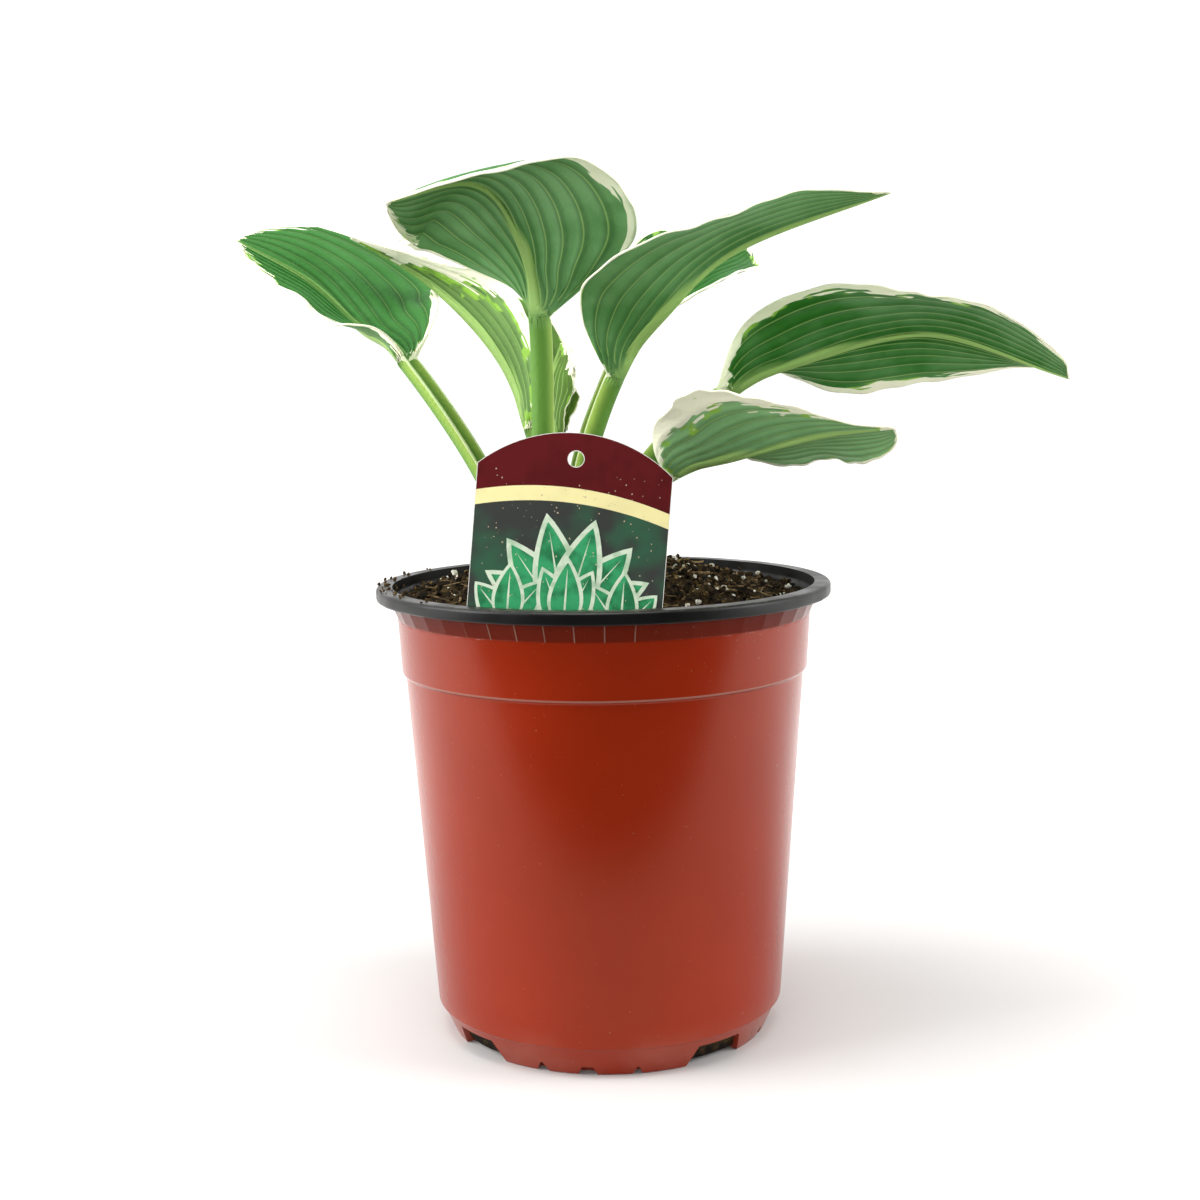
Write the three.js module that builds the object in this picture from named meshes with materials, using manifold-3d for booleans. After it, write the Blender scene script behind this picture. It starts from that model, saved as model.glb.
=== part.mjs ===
// A variegated hosta in a red nursery pot: pot, soil, printed plant tag and eight leaves.
// Millimetres, +Z up. It is drawn round the pot's axis with the feet on z = 0, and then placed with the
// centre of its bounding box over the origin. The tag stands at the front (-Y), and +X is on the right
// of someone looking at it.

import * as THREE from "three";
import { mergeVertices } from "three/addons/utils/BufferGeometryUtils.js";
import Module from "manifold-3d";

// Pot
const POT_HEIGHT = 165;
const POT_RIM_RADIUS = 82.5;
const POT_WALL = 1.4;
const POT_SIDES = 48;
const LIP_HEIGHT = 4.5;
const LIP_WIDTH = 5.8;
const BAND_BOTTOM = { r: 75, z: 153.8 };
const BAND_TOP_RADIUS = 77.9;
const STEP = { z: 133.2, lower: 72.6, upper: 73.9, height: 0.8 };
const BODY_BOTTOM = { r: 63.1, z: 10.7 };

// Feet: a ring under the floor, split by four gaps, with three small notches in each foot
const FOOT_OUTER = 58.2;
const FOOT_INNER = 48;
const FOOT_TOP_INNER = 46;
const FLOOR_UNDERSIDE = 6;
const FOOT_COUNT = 4;
const FOOT_FIRST_DEG = -6.5;
const GAP_FROM_FOOT_DEG = 45;
const GAP = { halfBottom: 12.2, halfTop: 9.4, height: 8 };
const NOTCHES = [
  { deg: -17.5, halfBottom: 2.5, halfTop: 0.4, height: 3.6 },
  { deg: -1.5, halfBottom: 3.5, halfTop: 2, height: 3.2 },
  { deg: 15.5, halfBottom: 1.8, halfTop: 0.3, height: 3 },
];
const DRAIN = { radius: 5, ring: 30, length: 12, sides: 16 };
const CUTTER_INNER = 43;
const NOTCH_INNER = 54.2;
const CUTTER_OUTER = 69.1;

// Soil
const SOIL_FRONT = 152;
const SOIL_BACK_RISE = 8;
const SOIL_RISE_FROM_Y = -58;
const SOIL_RISE_RUN = 40;
const SOIL_MOUND = { x: -4, y: 12, height: 10.5, flat: 25, run: 46 };
const SOIL_RELIEF = 0.8;
const SOIL_SHOULDER = 0.3;
const SOIL_SIDES = 36;
const SOIL_RINGS = 6;
const CLEAR = 0.3;
const STALK_HOLE = { radius: 5.2, lift: 0.5, below: 0.3, top: 178, sides: 12, aim: 16 };

// Tag: a flat card with an arched top and a pointed stake
const TAG = {
  place: [-13.2, -60, 162.5],
  thickness: 0.8,
  arcSteps: 12,
  leanBackDeg: 5,
  tiltRightDeg: 5.4,
  halfWidth: 32.5,
  shoulder: -6,
  corner: 3,
  archRadius: 49,
  archCentre: 10.3,
  hole: { radius: 2.6, height: 50.6 },
  stakeHalf: 5.5,
  stakeTaper: -36,
  stakeTip: -42,
};

// Leaves: stalk and blade are one sheet. The path runs from the foot in the soil through the middle
// of the stalk, the base of the blade and two points on the midrib to the tip. The left and right
// halves are named as seen looking outward along the leaf. Fold, curl and roll are degrees at the
// base, middle and tip of the blade. Widths are those of each half.
const BLADE_HALF_THICKNESS = 0.42;
const RIB_HEIGHT = 1;
const RIBS_PER_HALF = 4;
const STALK_ROWS = 6;
const BLADE_ROWS = 13;
const HALF_COLUMNS = 8;
const STALK_FOOT_HALF = 3.4;
const STALK_TOP_HALF = 3.8;
const TIP_HALF = 0.7;
const MARGIN_WAVE = 1.2;
const WAVES = 2.5;
const LEAVES = {
  leaf_left: {
    heading: 150,
    path: [[-32, 1, 152], [-40, -3, 197], [-72, 20, 245], [-90, 31, 258], [-110, 38, 276], [-137, 40, 292]],
    width: [18, 46],
    roll: [5, 35, 30],
    fold: { left: [45, 35, 0], right: [35, -5, 0] },
    curl: { left: [-15, 0, 0], right: [0, -25, -20] },
    peak: 0.8,
    round: 1,
    taper: 0.55,
  },
  leaf_left_back: {
    heading: 170,
    path: [[-24, 14, 152], [-21, 18, 193], [-26, 19, 220], [-38, 28, 247], [-64, 40, 274], [-93, 38, 292]],
    width: [21, 28],
    roll: [0, -20, -15],
    fold: { left: [50, 60, 50], right: [60, 60, 50] },
    curl: { left: [-10, 0, 5], right: [0, 0, 0] },
    peak: 0.6,
    round: 1,
    taper: 1.45,
  },
  leaf_front: {
    heading: 225,
    path: [
      [-23.5, -9.5, 152], [-22, -11, 196], [-22, -3, 260],
      [-29, -12, 291], [-43, -25, 305], [-70, -43, 298],
    ],
    width: [52, 46],
    roll: [-15, -10, -30],
    fold: { left: [20, 0, -10], right: [20, 0, -10] },
    curl: { left: [0, -10, -25], right: [0, -15, -25] },
    peak: 0.85,
    round: 1.2,
    taper: 0.7,
  },
  leaf_right: {
    heading: -15,
    path: [[-10, -12, 152], [-8, -16, 196], [6, -22, 239], [23, -34, 261], [47, -40, 281], [96, -51, 298]],
    width: [36, 43],
    roll: [0, 0, 5],
    fold: { left: [60, 20, 20], right: [60, 20, 20] },
    curl: { left: [0, -20, -5], right: [5, -20, 0] },
    peak: 0.8,
    round: 1.15,
    taper: 1.15,
  },
  leaf_right_back: {
    heading: 35,
    path: [[-12.5, 16.5, 152], [-7, 18, 204], [7, 31, 242], [17, 39, 261], [38, 57, 278], [60, 80, 288]],
    width: [22, 32],
    roll: [0, -35, -35],
    fold: { left: [50, 40, 0], right: [25, 25, 0] },
    curl: { left: [0, 5, 0], right: [-10, 25, 25] },
    peak: 0.85,
    round: 1.1,
    taper: 0.6,
  },
  leaf_far_right: {
    heading: -10,
    path: [[0, 8, 152], [14, 5, 201], [45, 2, 231], [72, -1, 243], [117, -1, 252], [164, -19, 236]],
    width: [26, 41],
    roll: [30, 30, 15],
    fold: { left: [35, -5, 20], right: [35, 0, 10] },
    curl: { left: [5, -25, 5], right: [5, -20, -5] },
    peak: 0.85,
    round: 1.1,
    taper: 0.35,
  },
  leaf_low_right: {
    heading: -25,
    path: [[-0.5, -5, 152], [6, -11, 188], [25, -31, 206], [46, -44, 212], [72, -60, 219], [94, -73, 222]],
    width: [32, 42],
    roll: [-10, 20, 20],
    fold: { left: [10, 15, 0], right: [40, 15, 0] },
    curl: { left: [-30, -20, -30], right: [5, -10, -25] },
    peak: 0.75,
    round: 0.9,
    taper: 0.5,
  },
  leaf_young: {
    heading: 190,
    path: [[-16, 3, 152], [-17, 5, 194], [-17, 3, 214], [-18, 6, 226], [-18, 9, 238], [-14, 18, 251]],
    width: [9, 9],
    roll: [5, 15, 5],
    fold: { left: [20, 40, 50], right: [50, 50, 50] },
    curl: { left: [30, 45, 50], right: [50, 50, 50] },
    peak: 1,
    round: 0.9,
    taper: 0.5,
    stalkHalf: 3,
  },
};

const COLOURS = {
  pot: 0x852711,
  soil: 0x473e2a,
  tag: 0x63181b,
  leaf: 0x49803d,
};

const wasm = await Module();
wasm.setup();

const radians = THREE.MathUtils.degToRad;

function toSolid(geometry) {
  const bare = geometry.clone();
  bare.deleteAttribute("normal");
  bare.deleteAttribute("uv");
  const merged = mergeVertices(bare, 1e-4);
  return new wasm.Manifold(
    new wasm.Mesh({
      numProp: 3,
      vertProperties: new Float32Array(merged.attributes.position.array),
      triVerts: new Uint32Array(merged.index.array),
    }),
  );
}

function toGeometry(solid) {
  const mesh = solid.getMesh();
  const geometry = new THREE.BufferGeometry();
  geometry.setAttribute("position", new THREE.BufferAttribute(new Float32Array(mesh.vertProperties), 3));
  geometry.setIndex(new THREE.BufferAttribute(new Uint32Array(mesh.triVerts), 1));
  geometry.computeVertexNormals();
  return geometry;
}

function lathe(profile, sides) {
  const points = profile.map(([r, z]) => new THREE.Vector2(r, z));
  return new THREE.LatheGeometry(points, sides).rotateX(Math.PI / 2);
}

// A radial bar with a trapezoid section, pointing outward at an angle from the front
function radialCutter(spec, deg, grow, innerRadius, outerRadius) {
  const shape = new THREE.Shape();
  const below = -2;
  shape.moveTo(-spec.halfBottom - grow, below);
  shape.lineTo(spec.halfBottom + grow, below);
  shape.lineTo(spec.halfBottom + grow, 0);
  shape.lineTo(spec.halfTop + grow, spec.height + grow);
  shape.lineTo(-spec.halfTop - grow, spec.height + grow);
  shape.lineTo(-spec.halfBottom - grow, 0);
  const bar = new THREE.ExtrudeGeometry(shape, { depth: outerRadius - innerRadius, bevelEnabled: false });
  bar.rotateX(Math.PI / 2);
  bar.translate(0, -innerRadius, 0);
  return toSolid(bar.rotateZ(radians(deg)));
}

function footCutters(grow) {
  const cutters = [];
  for (let k = 0; k < FOOT_COUNT; k += 1) {
    const footDeg = FOOT_FIRST_DEG + (k * 360) / FOOT_COUNT;
    cutters.push(radialCutter(GAP, footDeg + GAP_FROM_FOOT_DEG, grow, CUTTER_INNER, CUTTER_OUTER));
    for (const notch of NOTCHES) {
      cutters.push(radialCutter(notch, footDeg + notch.deg, grow, NOTCH_INNER - grow, CUTTER_OUTER));
    }
  }
  return wasm.Manifold.union(cutters);
}

// The pot's inner surface, also the mould of the soil, drawn in by a clearance
function innerProfile(clear) {
  const floor = FLOOR_UNDERSIDE + POT_WALL + clear;
  const footFloor = POT_WALL + clear;
  const inset = POT_WALL + clear;
  return [
    [0, floor],
    [FOOT_TOP_INNER + 0.6 + clear, floor],
    [FOOT_INNER + 1 + clear, footFloor],
    [FOOT_OUTER - 1.3 - clear, footFloor],
    [BODY_BOTTOM.r - inset, BODY_BOTTOM.z + 0.7 + clear],
    [STEP.lower - inset, STEP.z + 0.4],
    [STEP.upper - inset, STEP.z + STEP.height + 0.6],
    [BAND_BOTTOM.r - inset, BAND_BOTTOM.z - 0.2],
    [POT_RIM_RADIUS - LIP_WIDTH - 0.1 - clear, POT_HEIGHT - LIP_HEIGHT + 0.6],
  ];
}

function makePot() {
  const lipBottom = POT_HEIGHT - LIP_HEIGHT;
  const outer = toSolid(lathe([
    [0, FLOOR_UNDERSIDE],
    [FOOT_TOP_INNER, FLOOR_UNDERSIDE],
    [FOOT_INNER, 0],
    [FOOT_OUTER, 0],
    [BODY_BOTTOM.r, BODY_BOTTOM.z],
    [BODY_BOTTOM.r + 0.9, BODY_BOTTOM.z + 0.4],
    [STEP.lower, STEP.z],
    [STEP.upper, STEP.z + STEP.height],
    [BAND_BOTTOM.r, BAND_BOTTOM.z],
    [BAND_TOP_RADIUS, lipBottom],
    [BAND_TOP_RADIUS + 0.2, POT_HEIGHT - POT_WALL],
    [POT_RIM_RADIUS - POT_WALL, POT_HEIGHT - POT_WALL],
    [POT_RIM_RADIUS - POT_WALL, lipBottom],
    [POT_RIM_RADIUS - 0.3, lipBottom],
    [POT_RIM_RADIUS, lipBottom + 0.7],
    [POT_RIM_RADIUS, POT_HEIGHT - 0.8],
    [POT_RIM_RADIUS - 0.8, POT_HEIGHT],
    [0, POT_HEIGHT],
  ], POT_SIDES));
  const mouthRadius = POT_RIM_RADIUS - LIP_WIDTH;
  const inner = toSolid(lathe([
    ...innerProfile(0),
    [mouthRadius, POT_HEIGHT + 1],
    [0, POT_HEIGHT + 1],
  ], POT_SIDES));
  let pot = outer.subtract(footCutters(0)).subtract(inner.subtract(footCutters(POT_WALL)));
  for (let k = 0; k < FOOT_COUNT; k += 1) {
    const drain = new THREE.CylinderGeometry(DRAIN.radius, DRAIN.radius, DRAIN.length, DRAIN.sides);
    drain.rotateX(Math.PI / 2);
    drain.translate(0, -DRAIN.ring, FLOOR_UNDERSIDE);
    drain.rotateZ(radians(FOOT_FIRST_DEG + GAP_FROM_FOOT_DEG + (k * 360) / FOOT_COUNT));
    pot = pot.subtract(toSolid(drain));
  }
  return toGeometry(pot);
}

// Height of the uneven soil surface: low behind the tag, higher at the back, with a mound at the crown
function soilHeight(x, y) {
  const r = Math.min(1, Math.hypot(x, y) / BAND_BOTTOM.r);
  const bumps = Math.sin(x * 0.19 + 1) * Math.cos(y * 0.23) + 0.6 * Math.sin(x * 0.47 - y * 0.41);
  const rise = ease((y - SOIL_RISE_FROM_Y) / SOIL_RISE_RUN);
  const fromMound = Math.hypot(x - SOIL_MOUND.x, y - SOIL_MOUND.y);
  const mound = 1 - ease((fromMound - SOIL_MOUND.flat) / SOIL_MOUND.run);
  const level = SOIL_FRONT + SOIL_BACK_RISE * rise + SOIL_MOUND.height * mound;
  return level + SOIL_RELIEF * bumps * (1 - r ** 4);
}

// Radius of the mould of the soil at a height, on its flared upper part
function wallRadius(z) {
  const profile = innerProfile(CLEAR);
  const higher = profile.findIndex((point) => point[1] > z);
  const above = higher < 0 ? profile.length - 1 : higher;
  const [[r0, z0], [r1, z1]] = [profile[above - 1], profile[above]];
  return r0 + ((r1 - r0) * (z - z0)) / (z1 - z0);
}

// Rings of the soil at one angle, from near its centre out over the edge and down the wall
function soilRings(angle) {
  const at = (r) => soilHeight(r * Math.cos(angle), r * Math.sin(angle));
  const edge = at(BAND_BOTTOM.r);
  const rings = [];
  for (let k = 1; k <= SOIL_RINGS; k += 1) {
    const r = wallRadius(edge) * (k / SOIL_RINGS);
    rings.push([r, k === SOIL_RINGS ? edge : at(r)]);
  }
  const shoulder = Math.min(BAND_BOTTOM.z, edge) - SOIL_SHOULDER;
  const wall = innerProfile(CLEAR).slice(1, -2).reverse();
  return [...rings, [wallRadius(shoulder), shoulder], ...wall];
}

function makeSoil() {
  const angles = Array.from({ length: SOIL_SIDES }, (_, j) => (2 * Math.PI * j) / SOIL_SIDES);
  const spokes = angles.map(soilRings);
  const ringCount = spokes[0].length;
  const positions = [0, 0, soilHeight(0, 0)];
  for (let k = 0; k < ringCount; k += 1) {
    spokes.forEach((spoke, j) => {
      const [r, z] = spoke[k];
      positions.push(r * Math.cos(angles[j]), r * Math.sin(angles[j]), z);
    });
  }
  const last = positions.length / 3;
  positions.push(0, 0, innerProfile(CLEAR)[0][1]);
  const index = [];
  for (let j = 0; j < SOIL_SIDES; j += 1) {
    const next = (j + 1) % SOIL_SIDES;
    index.push(0, 1 + j, 1 + next);
    for (let k = 0; k + 1 < ringCount; k += 1) {
      const a = 1 + k * SOIL_SIDES;
      const b = a + SOIL_SIDES;
      index.push(a + j, b + j, b + next, a + j, b + next, a + next);
    }
    const bottom = 1 + (ringCount - 1) * SOIL_SIDES;
    index.push(bottom + j, last, bottom + next);
  }
  const geometry = new THREE.BufferGeometry();
  geometry.setAttribute("position", new THREE.Float32BufferAttribute(positions, 3));
  geometry.setIndex(index);
  let soil = toSolid(geometry).subtract(footCutters(POT_WALL + CLEAR));
  for (const leaf of Object.values(LEAVES)) {
    soil = soil.subtract(stalkHole(leaf));
  }
  return toGeometry(soil.subtract(toSolid(tagSlot())));
}

function tagMatrix() {
  const lean = radians(TAG.leanBackDeg);
  const tilt = radians(TAG.tiltRightDeg);
  const right = new THREE.Vector3(1, 0, 0);
  const up = new THREE.Vector3(0, Math.sin(lean), Math.cos(lean));
  const u = right.clone().multiplyScalar(Math.cos(tilt)).addScaledVector(up, -Math.sin(tilt));
  const v = up.clone().multiplyScalar(Math.cos(tilt)).addScaledVector(right, Math.sin(tilt));
  const w = new THREE.Vector3().crossVectors(u, v);
  return new THREE.Matrix4().makeBasis(u, v, w).setPosition(...TAG.place);
}

function makeTag() {
  const { halfWidth, shoulder, corner, archRadius, archCentre, stakeHalf, stakeTaper, stakeTip } = TAG;
  const archAngle = Math.acos(halfWidth / archRadius);
  const shape = new THREE.Shape();
  shape.moveTo(-stakeHalf, shoulder);
  shape.lineTo(-stakeHalf, stakeTaper);
  shape.lineTo(0, stakeTip);
  shape.lineTo(stakeHalf, stakeTaper);
  shape.lineTo(stakeHalf, shoulder);
  shape.lineTo(halfWidth - corner, shoulder);
  shape.lineTo(halfWidth, shoulder + corner);
  shape.absarc(0, archCentre, archRadius, archAngle, Math.PI - archAngle);
  shape.lineTo(-halfWidth, shoulder + corner);
  shape.lineTo(-halfWidth + corner, shoulder);
  const hole = new THREE.Path();
  hole.absarc(0, TAG.hole.height, TAG.hole.radius, 0, 2 * Math.PI, true);
  shape.holes.push(hole);
  const depth = TAG.thickness;
  const card = new THREE.ExtrudeGeometry(shape, { depth, bevelEnabled: false, curveSegments: TAG.arcSteps });
  card.translate(0, 0, -depth / 2);
  return toGeometry(toSolid(card.applyMatrix4(tagMatrix())));
}

function tagSlot() {
  const half = TAG.stakeHalf + CLEAR;
  const shape = new THREE.Shape();
  shape.moveTo(-half, TAG.shoulder);
  shape.lineTo(-half, TAG.stakeTaper);
  shape.lineTo(0, TAG.stakeTip - 1.5 * CLEAR);
  shape.lineTo(half, TAG.stakeTaper);
  shape.lineTo(half, TAG.shoulder);
  const depth = TAG.thickness + 2 * CLEAR;
  const slot = new THREE.ExtrudeGeometry(shape, { depth, bevelEnabled: false });
  slot.translate(0, 0, -depth / 2);
  return slot.applyMatrix4(tagMatrix());
}

function ease(x) {
  const t = THREE.MathUtils.clamp(x, 0, 1);
  return t * t * (3 - 2 * t);
}

// Value along the blade from its base, middle and tip values
function along([base, middle, tip], s) {
  return s < 0.5 ? base + (middle - base) * ease(s / 0.5) : middle + (tip - middle) * ease((s - 0.5) / 0.5);
}

// Curve through a leaf's path, with the lengths to the blade's base and to the tip
function leafCurve(leaf) {
  const steps = 60;
  const points = leaf.path.map((p) => new THREE.Vector3(...p));
  const curve = new THREE.CatmullRomCurve3(points, false, "catmullrom", 0.5);
  curve.arcLengthDivisions = steps * (points.length - 1);
  const lengths = curve.getLengths();
  return { curve, base: lengths[2 * steps], total: lengths.at(-1) };
}

// Point, outward direction, sideways direction and upper normal at a length along a leaf
function leafFrame(leaf, { curve, base, total }, length) {
  const at = (l) => curve.getPointAt(THREE.MathUtils.clamp(l / total, 0, 1));
  const point = at(length);
  const along1 = at(length + 1).sub(at(length - 1)).normalize();
  const heading = radians(leaf.heading);
  const side = new THREE.Vector3(Math.sin(heading), -Math.cos(heading), 0);
  side.addScaledVector(along1, -side.dot(along1)).normalize();
  const up = new THREE.Vector3().crossVectors(side, along1);
  const s = (length - base) / (total - base);
  const roll = radians(s < 0 ? leaf.roll[0] * ease(length / base) : along(leaf.roll, s));
  const rolledSide = side.clone().multiplyScalar(Math.cos(roll)).addScaledVector(up, Math.sin(roll));
  const rolledUp = up.clone().multiplyScalar(Math.cos(roll)).addScaledVector(side, -Math.sin(roll));
  return { point, side: rolledSide, up: rolledUp, s, grown: length / base };
}

// Half width of a leaf, one side, at a station of the blade (0 base, 1 tip) or down the stalk
function halfWidth(leaf, side, s, grown) {
  const stalkTop = leaf.stalkHalf ?? STALK_TOP_HALF;
  const stalk = STALK_FOOT_HALF + (stalkTop - STALK_FOOT_HALF) * ease(grown / 0.35);
  const station = THREE.MathUtils.clamp(s, 0, 1);
  const widest = 0.5 ** (1 / leaf.peak);
  const power = station < widest ? leaf.round : leaf.taper;
  const outline = Math.max(0, Math.sin(Math.PI * station ** leaf.peak)) ** power;
  return Math.hypot(stalk * (1 - station) ** 3, leaf.width[side < 0 ? 0 : 1] * outline) + TIP_HALF;
}

// Point of the sheet's middle surface; vein runs from 0 on the midrib to 1 on the margin
function leafPoint(leaf, frame, side, vein, ribHeight) {
  const { point, s, grown } = frame;
  const station = THREE.MathUtils.clamp(s, 0, 1);
  const out = vein ** (1 + 1.4 * (1 - station) ** 1.5 * ease(s / 0.2));
  const hand = side < 0 ? "left" : "right";
  const blade = ease(s / 0.22);
  const fold = radians(15 * (1 - blade) + along(leaf.fold[hand], station) * blade);
  const curl = radians(70 * (1 - blade) + along(leaf.curl[hand], station) * blade);
  const reach = halfWidth(leaf, side, s, grown) * out;
  const angle = fold + (curl * out) / 2;
  const phase = side < 0 ? 0 : 1.3;
  const wave = Math.sin(2 * Math.PI * WAVES * station + phase) * Math.sin(Math.PI * station);
  const rib = Math.abs(Math.sin(Math.PI * vein * RIBS_PER_HALF)) ** 0.8;
  const ribFade = Math.sqrt(Math.max(0, Math.sin(Math.PI * Math.sqrt(station)))) * (1 - 0.5 * out);
  const height = reach * Math.sin(angle) + MARGIN_WAVE * out * out * wave + ribHeight * rib * ribFade;
  const place = point.clone().addScaledVector(frame.side, side * reach * Math.cos(angle));
  return { place: place.addScaledVector(frame.up, height), reach };
}

// Thickness below the middle surface: a full stalk that runs on as the midrib
function underDepth(s, vein, reach) {
  const stalk = 0.8 + 1.9 * (1 - vein * vein);
  const station = THREE.MathUtils.clamp(s, 0, 1);
  const midrib = 1.8 * (1 - station) ** 1.5 * Math.exp(-((reach / 2.5) ** 2));
  const blade = BLADE_HALF_THICKNESS + midrib;
  return stalk + (blade - stalk) * ease(s / 0.15);
}

function leafStations(base, total) {
  const stations = [];
  for (let i = 0; i < STALK_ROWS; i += 1) {
    stations.push((base * i) / STALK_ROWS);
  }
  for (let i = 0; i <= BLADE_ROWS; i += 1) {
    stations.push(base + (total - base) * (i / BLADE_ROWS) ** 1.1);
  }
  return stations;
}

function makeLeaf(leaf) {
  const curve = leafCurve(leaf);
  const columns = 2 * HALF_COLUMNS + 1;
  const rows = leafStations(curve.base, curve.total).map((length) => {
    const frame = leafFrame(leaf, curve, length);
    return Array.from({ length: columns }, (_, j) => {
      const side = j < HALF_COLUMNS ? -1 : 1;
      const vein = Math.abs(j - HALF_COLUMNS) / HALF_COLUMNS;
      const smooth = leafPoint(leaf, frame, side, vein, 0).place;
      const { place, reach } = leafPoint(leaf, frame, side, vein, RIB_HEIGHT);
      return { smooth, place, depth: underDepth(frame.s, vein, reach) };
    });
  });
  const clampRow = (i) => rows[THREE.MathUtils.clamp(i, 0, rows.length - 1)];
  const clampCell = (row, j) => row[THREE.MathUtils.clamp(j, 0, columns - 1)].smooth;
  const normalAt = (i, j) => {
    const outward = clampCell(clampRow(i + 1), j).clone().sub(clampCell(clampRow(i - 1), j));
    const sideways = clampCell(rows[i], j + 1).clone().sub(clampCell(rows[i], j - 1));
    return sideways.cross(outward).normalize();
  };
  const upper = [];
  const lower = [];
  rows.forEach((row, i) => row.forEach(({ place, depth }, j) => {
    const normal = normalAt(i, j);
    upper.push(place.clone().addScaledVector(normal, BLADE_HALF_THICKNESS));
    lower.push(place.clone().addScaledVector(normal, -depth));
  }));
  return sheetGeometry(upper, lower, rows.length, columns);
}

// Closed sheet between two grids of points, split along the same diagonals on both faces
function sheetGeometry(upper, lower, rowCount, columns) {
  const offset = upper.length;
  const index = [];
  const quad = (a, b, c, d) => index.push(a, b, c, a, c, d);
  for (let i = 0; i + 1 < rowCount; i += 1) {
    for (let j = 0; j + 1 < columns; j += 1) {
      const a = i * columns + j;
      const b = a + 1;
      const d = a + columns;
      const c = d + 1;
      index.push(a, b, c, a, c, d);
      index.push(offset + a, offset + c, offset + b, offset + a, offset + d, offset + c);
    }
    const left = i * columns;
    const right = left + columns - 1;
    quad(left, left + columns, offset + left + columns, offset + left);
    quad(right + columns, right, offset + right, offset + right + columns);
  }
  const end = (rowCount - 1) * columns;
  for (let j = 0; j + 1 < columns; j += 1) {
    quad(j + 1, j, offset + j, offset + j + 1);
    quad(end + j, end + j + 1, offset + end + j + 1, offset + end + j);
  }
  const geometry = new THREE.BufferGeometry();
  geometry.setFromPoints([...upper, ...lower]);
  geometry.setIndex(index);
  geometry.computeVertexNormals();
  return geometry;
}

// Plain round hole in the soil along the foot of a leaf's stalk
function stalkHole(leaf) {
  const curve = leafCurve(leaf);
  const foot = leafFrame(leaf, curve, 0);
  const exit = leafFrame(leaf, curve, STALK_HOLE.aim);
  const axis = exit.point.clone().sub(foot.point).normalize();
  const start = foot.point.clone().addScaledVector(foot.up, STALK_HOLE.lift);
  start.addScaledVector(axis, -STALK_HOLE.below);
  const depth = STALK_HOLE.top - start.z;
  const hole = new THREE.CylinderGeometry(STALK_HOLE.radius, STALK_HOLE.radius, depth, STALK_HOLE.sides);
  hole.translate(0, depth / 2, 0);
  hole.applyQuaternion(new THREE.Quaternion().setFromUnitVectors(new THREE.Vector3(0, 1, 0), axis));
  return toSolid(hole.translate(start.x, start.y, start.z));
}

function addMesh(group, name, geometry, color, roughness) {
  const material = new THREE.MeshStandardMaterial({ color, roughness, metalness: 0 });
  const mesh = new THREE.Mesh(geometry, material);
  mesh.name = name;
  group.add(mesh);
}

const plant = new THREE.Group();
addMesh(plant, "pot", makePot(), COLOURS.pot, 0.35);
addMesh(plant, "soil", makeSoil(), COLOURS.soil, 0.95);
addMesh(plant, "tag", makeTag(), COLOURS.tag, 0.3);
for (const [name, leaf] of Object.entries(LEAVES)) {
  addMesh(plant, name, makeLeaf(leaf), COLOURS.leaf, 0.5);
}

const box = new THREE.Box3().setFromObject(plant, true);
plant.position.set(-(box.min.x + box.max.x) / 2, -(box.min.y + box.max.y) / 2, -box.min.z);

export default plant;
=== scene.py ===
"""A cream-edged hosta in a red nursery pot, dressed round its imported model.

Sizes in the tables are millimetres round the pot's axis; the meshes are metres in the row frame.
"""
import math
import random

import bpy
import numpy as np
from bpy.props import FloatProperty, FloatVectorProperty, IntProperty, PointerProperty
from mathutils import Matrix, Vector, noise


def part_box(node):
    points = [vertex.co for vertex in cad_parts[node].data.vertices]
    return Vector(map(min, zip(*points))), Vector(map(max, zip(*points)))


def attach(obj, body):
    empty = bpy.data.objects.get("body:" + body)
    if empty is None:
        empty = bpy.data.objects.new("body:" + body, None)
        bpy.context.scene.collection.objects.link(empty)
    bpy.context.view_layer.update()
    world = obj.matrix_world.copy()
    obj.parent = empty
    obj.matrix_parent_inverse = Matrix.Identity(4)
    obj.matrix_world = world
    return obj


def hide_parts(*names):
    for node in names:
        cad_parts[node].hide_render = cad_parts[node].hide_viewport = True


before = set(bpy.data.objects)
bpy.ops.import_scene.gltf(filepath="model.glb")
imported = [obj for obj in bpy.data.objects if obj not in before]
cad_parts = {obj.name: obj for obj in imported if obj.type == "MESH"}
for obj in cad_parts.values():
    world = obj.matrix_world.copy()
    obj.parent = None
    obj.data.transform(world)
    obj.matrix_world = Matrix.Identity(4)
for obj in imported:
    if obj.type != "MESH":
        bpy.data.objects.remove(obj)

bl_info = {
    "name": "Potted hosta",
    "version": (1, 0, 0),
    "blender": (4, 5, 0),
    "location": "View3D > Sidebar > Hosta",
    "description": "Builds a hosta with its pot, soil and plant tag",
    "category": "Add Mesh",
}

POT_LOW, POT_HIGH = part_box("pot")
AXIS = ((POT_LOW.x + POT_HIGH.x) / 2, (POT_LOW.y + POT_HIGH.y) / 2)
RIM_RADIUS = (POT_HIGH.x - POT_LOW.x) / 2
MM = 0.001

# Camera of the photo, in millimetres and degrees from the pot's axis
CAMERA_PLACE = (-1.3, -652.7, 246.8)
CAMERA_PITCH = 7.76
CAMERA_ROLL = 0.95

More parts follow.
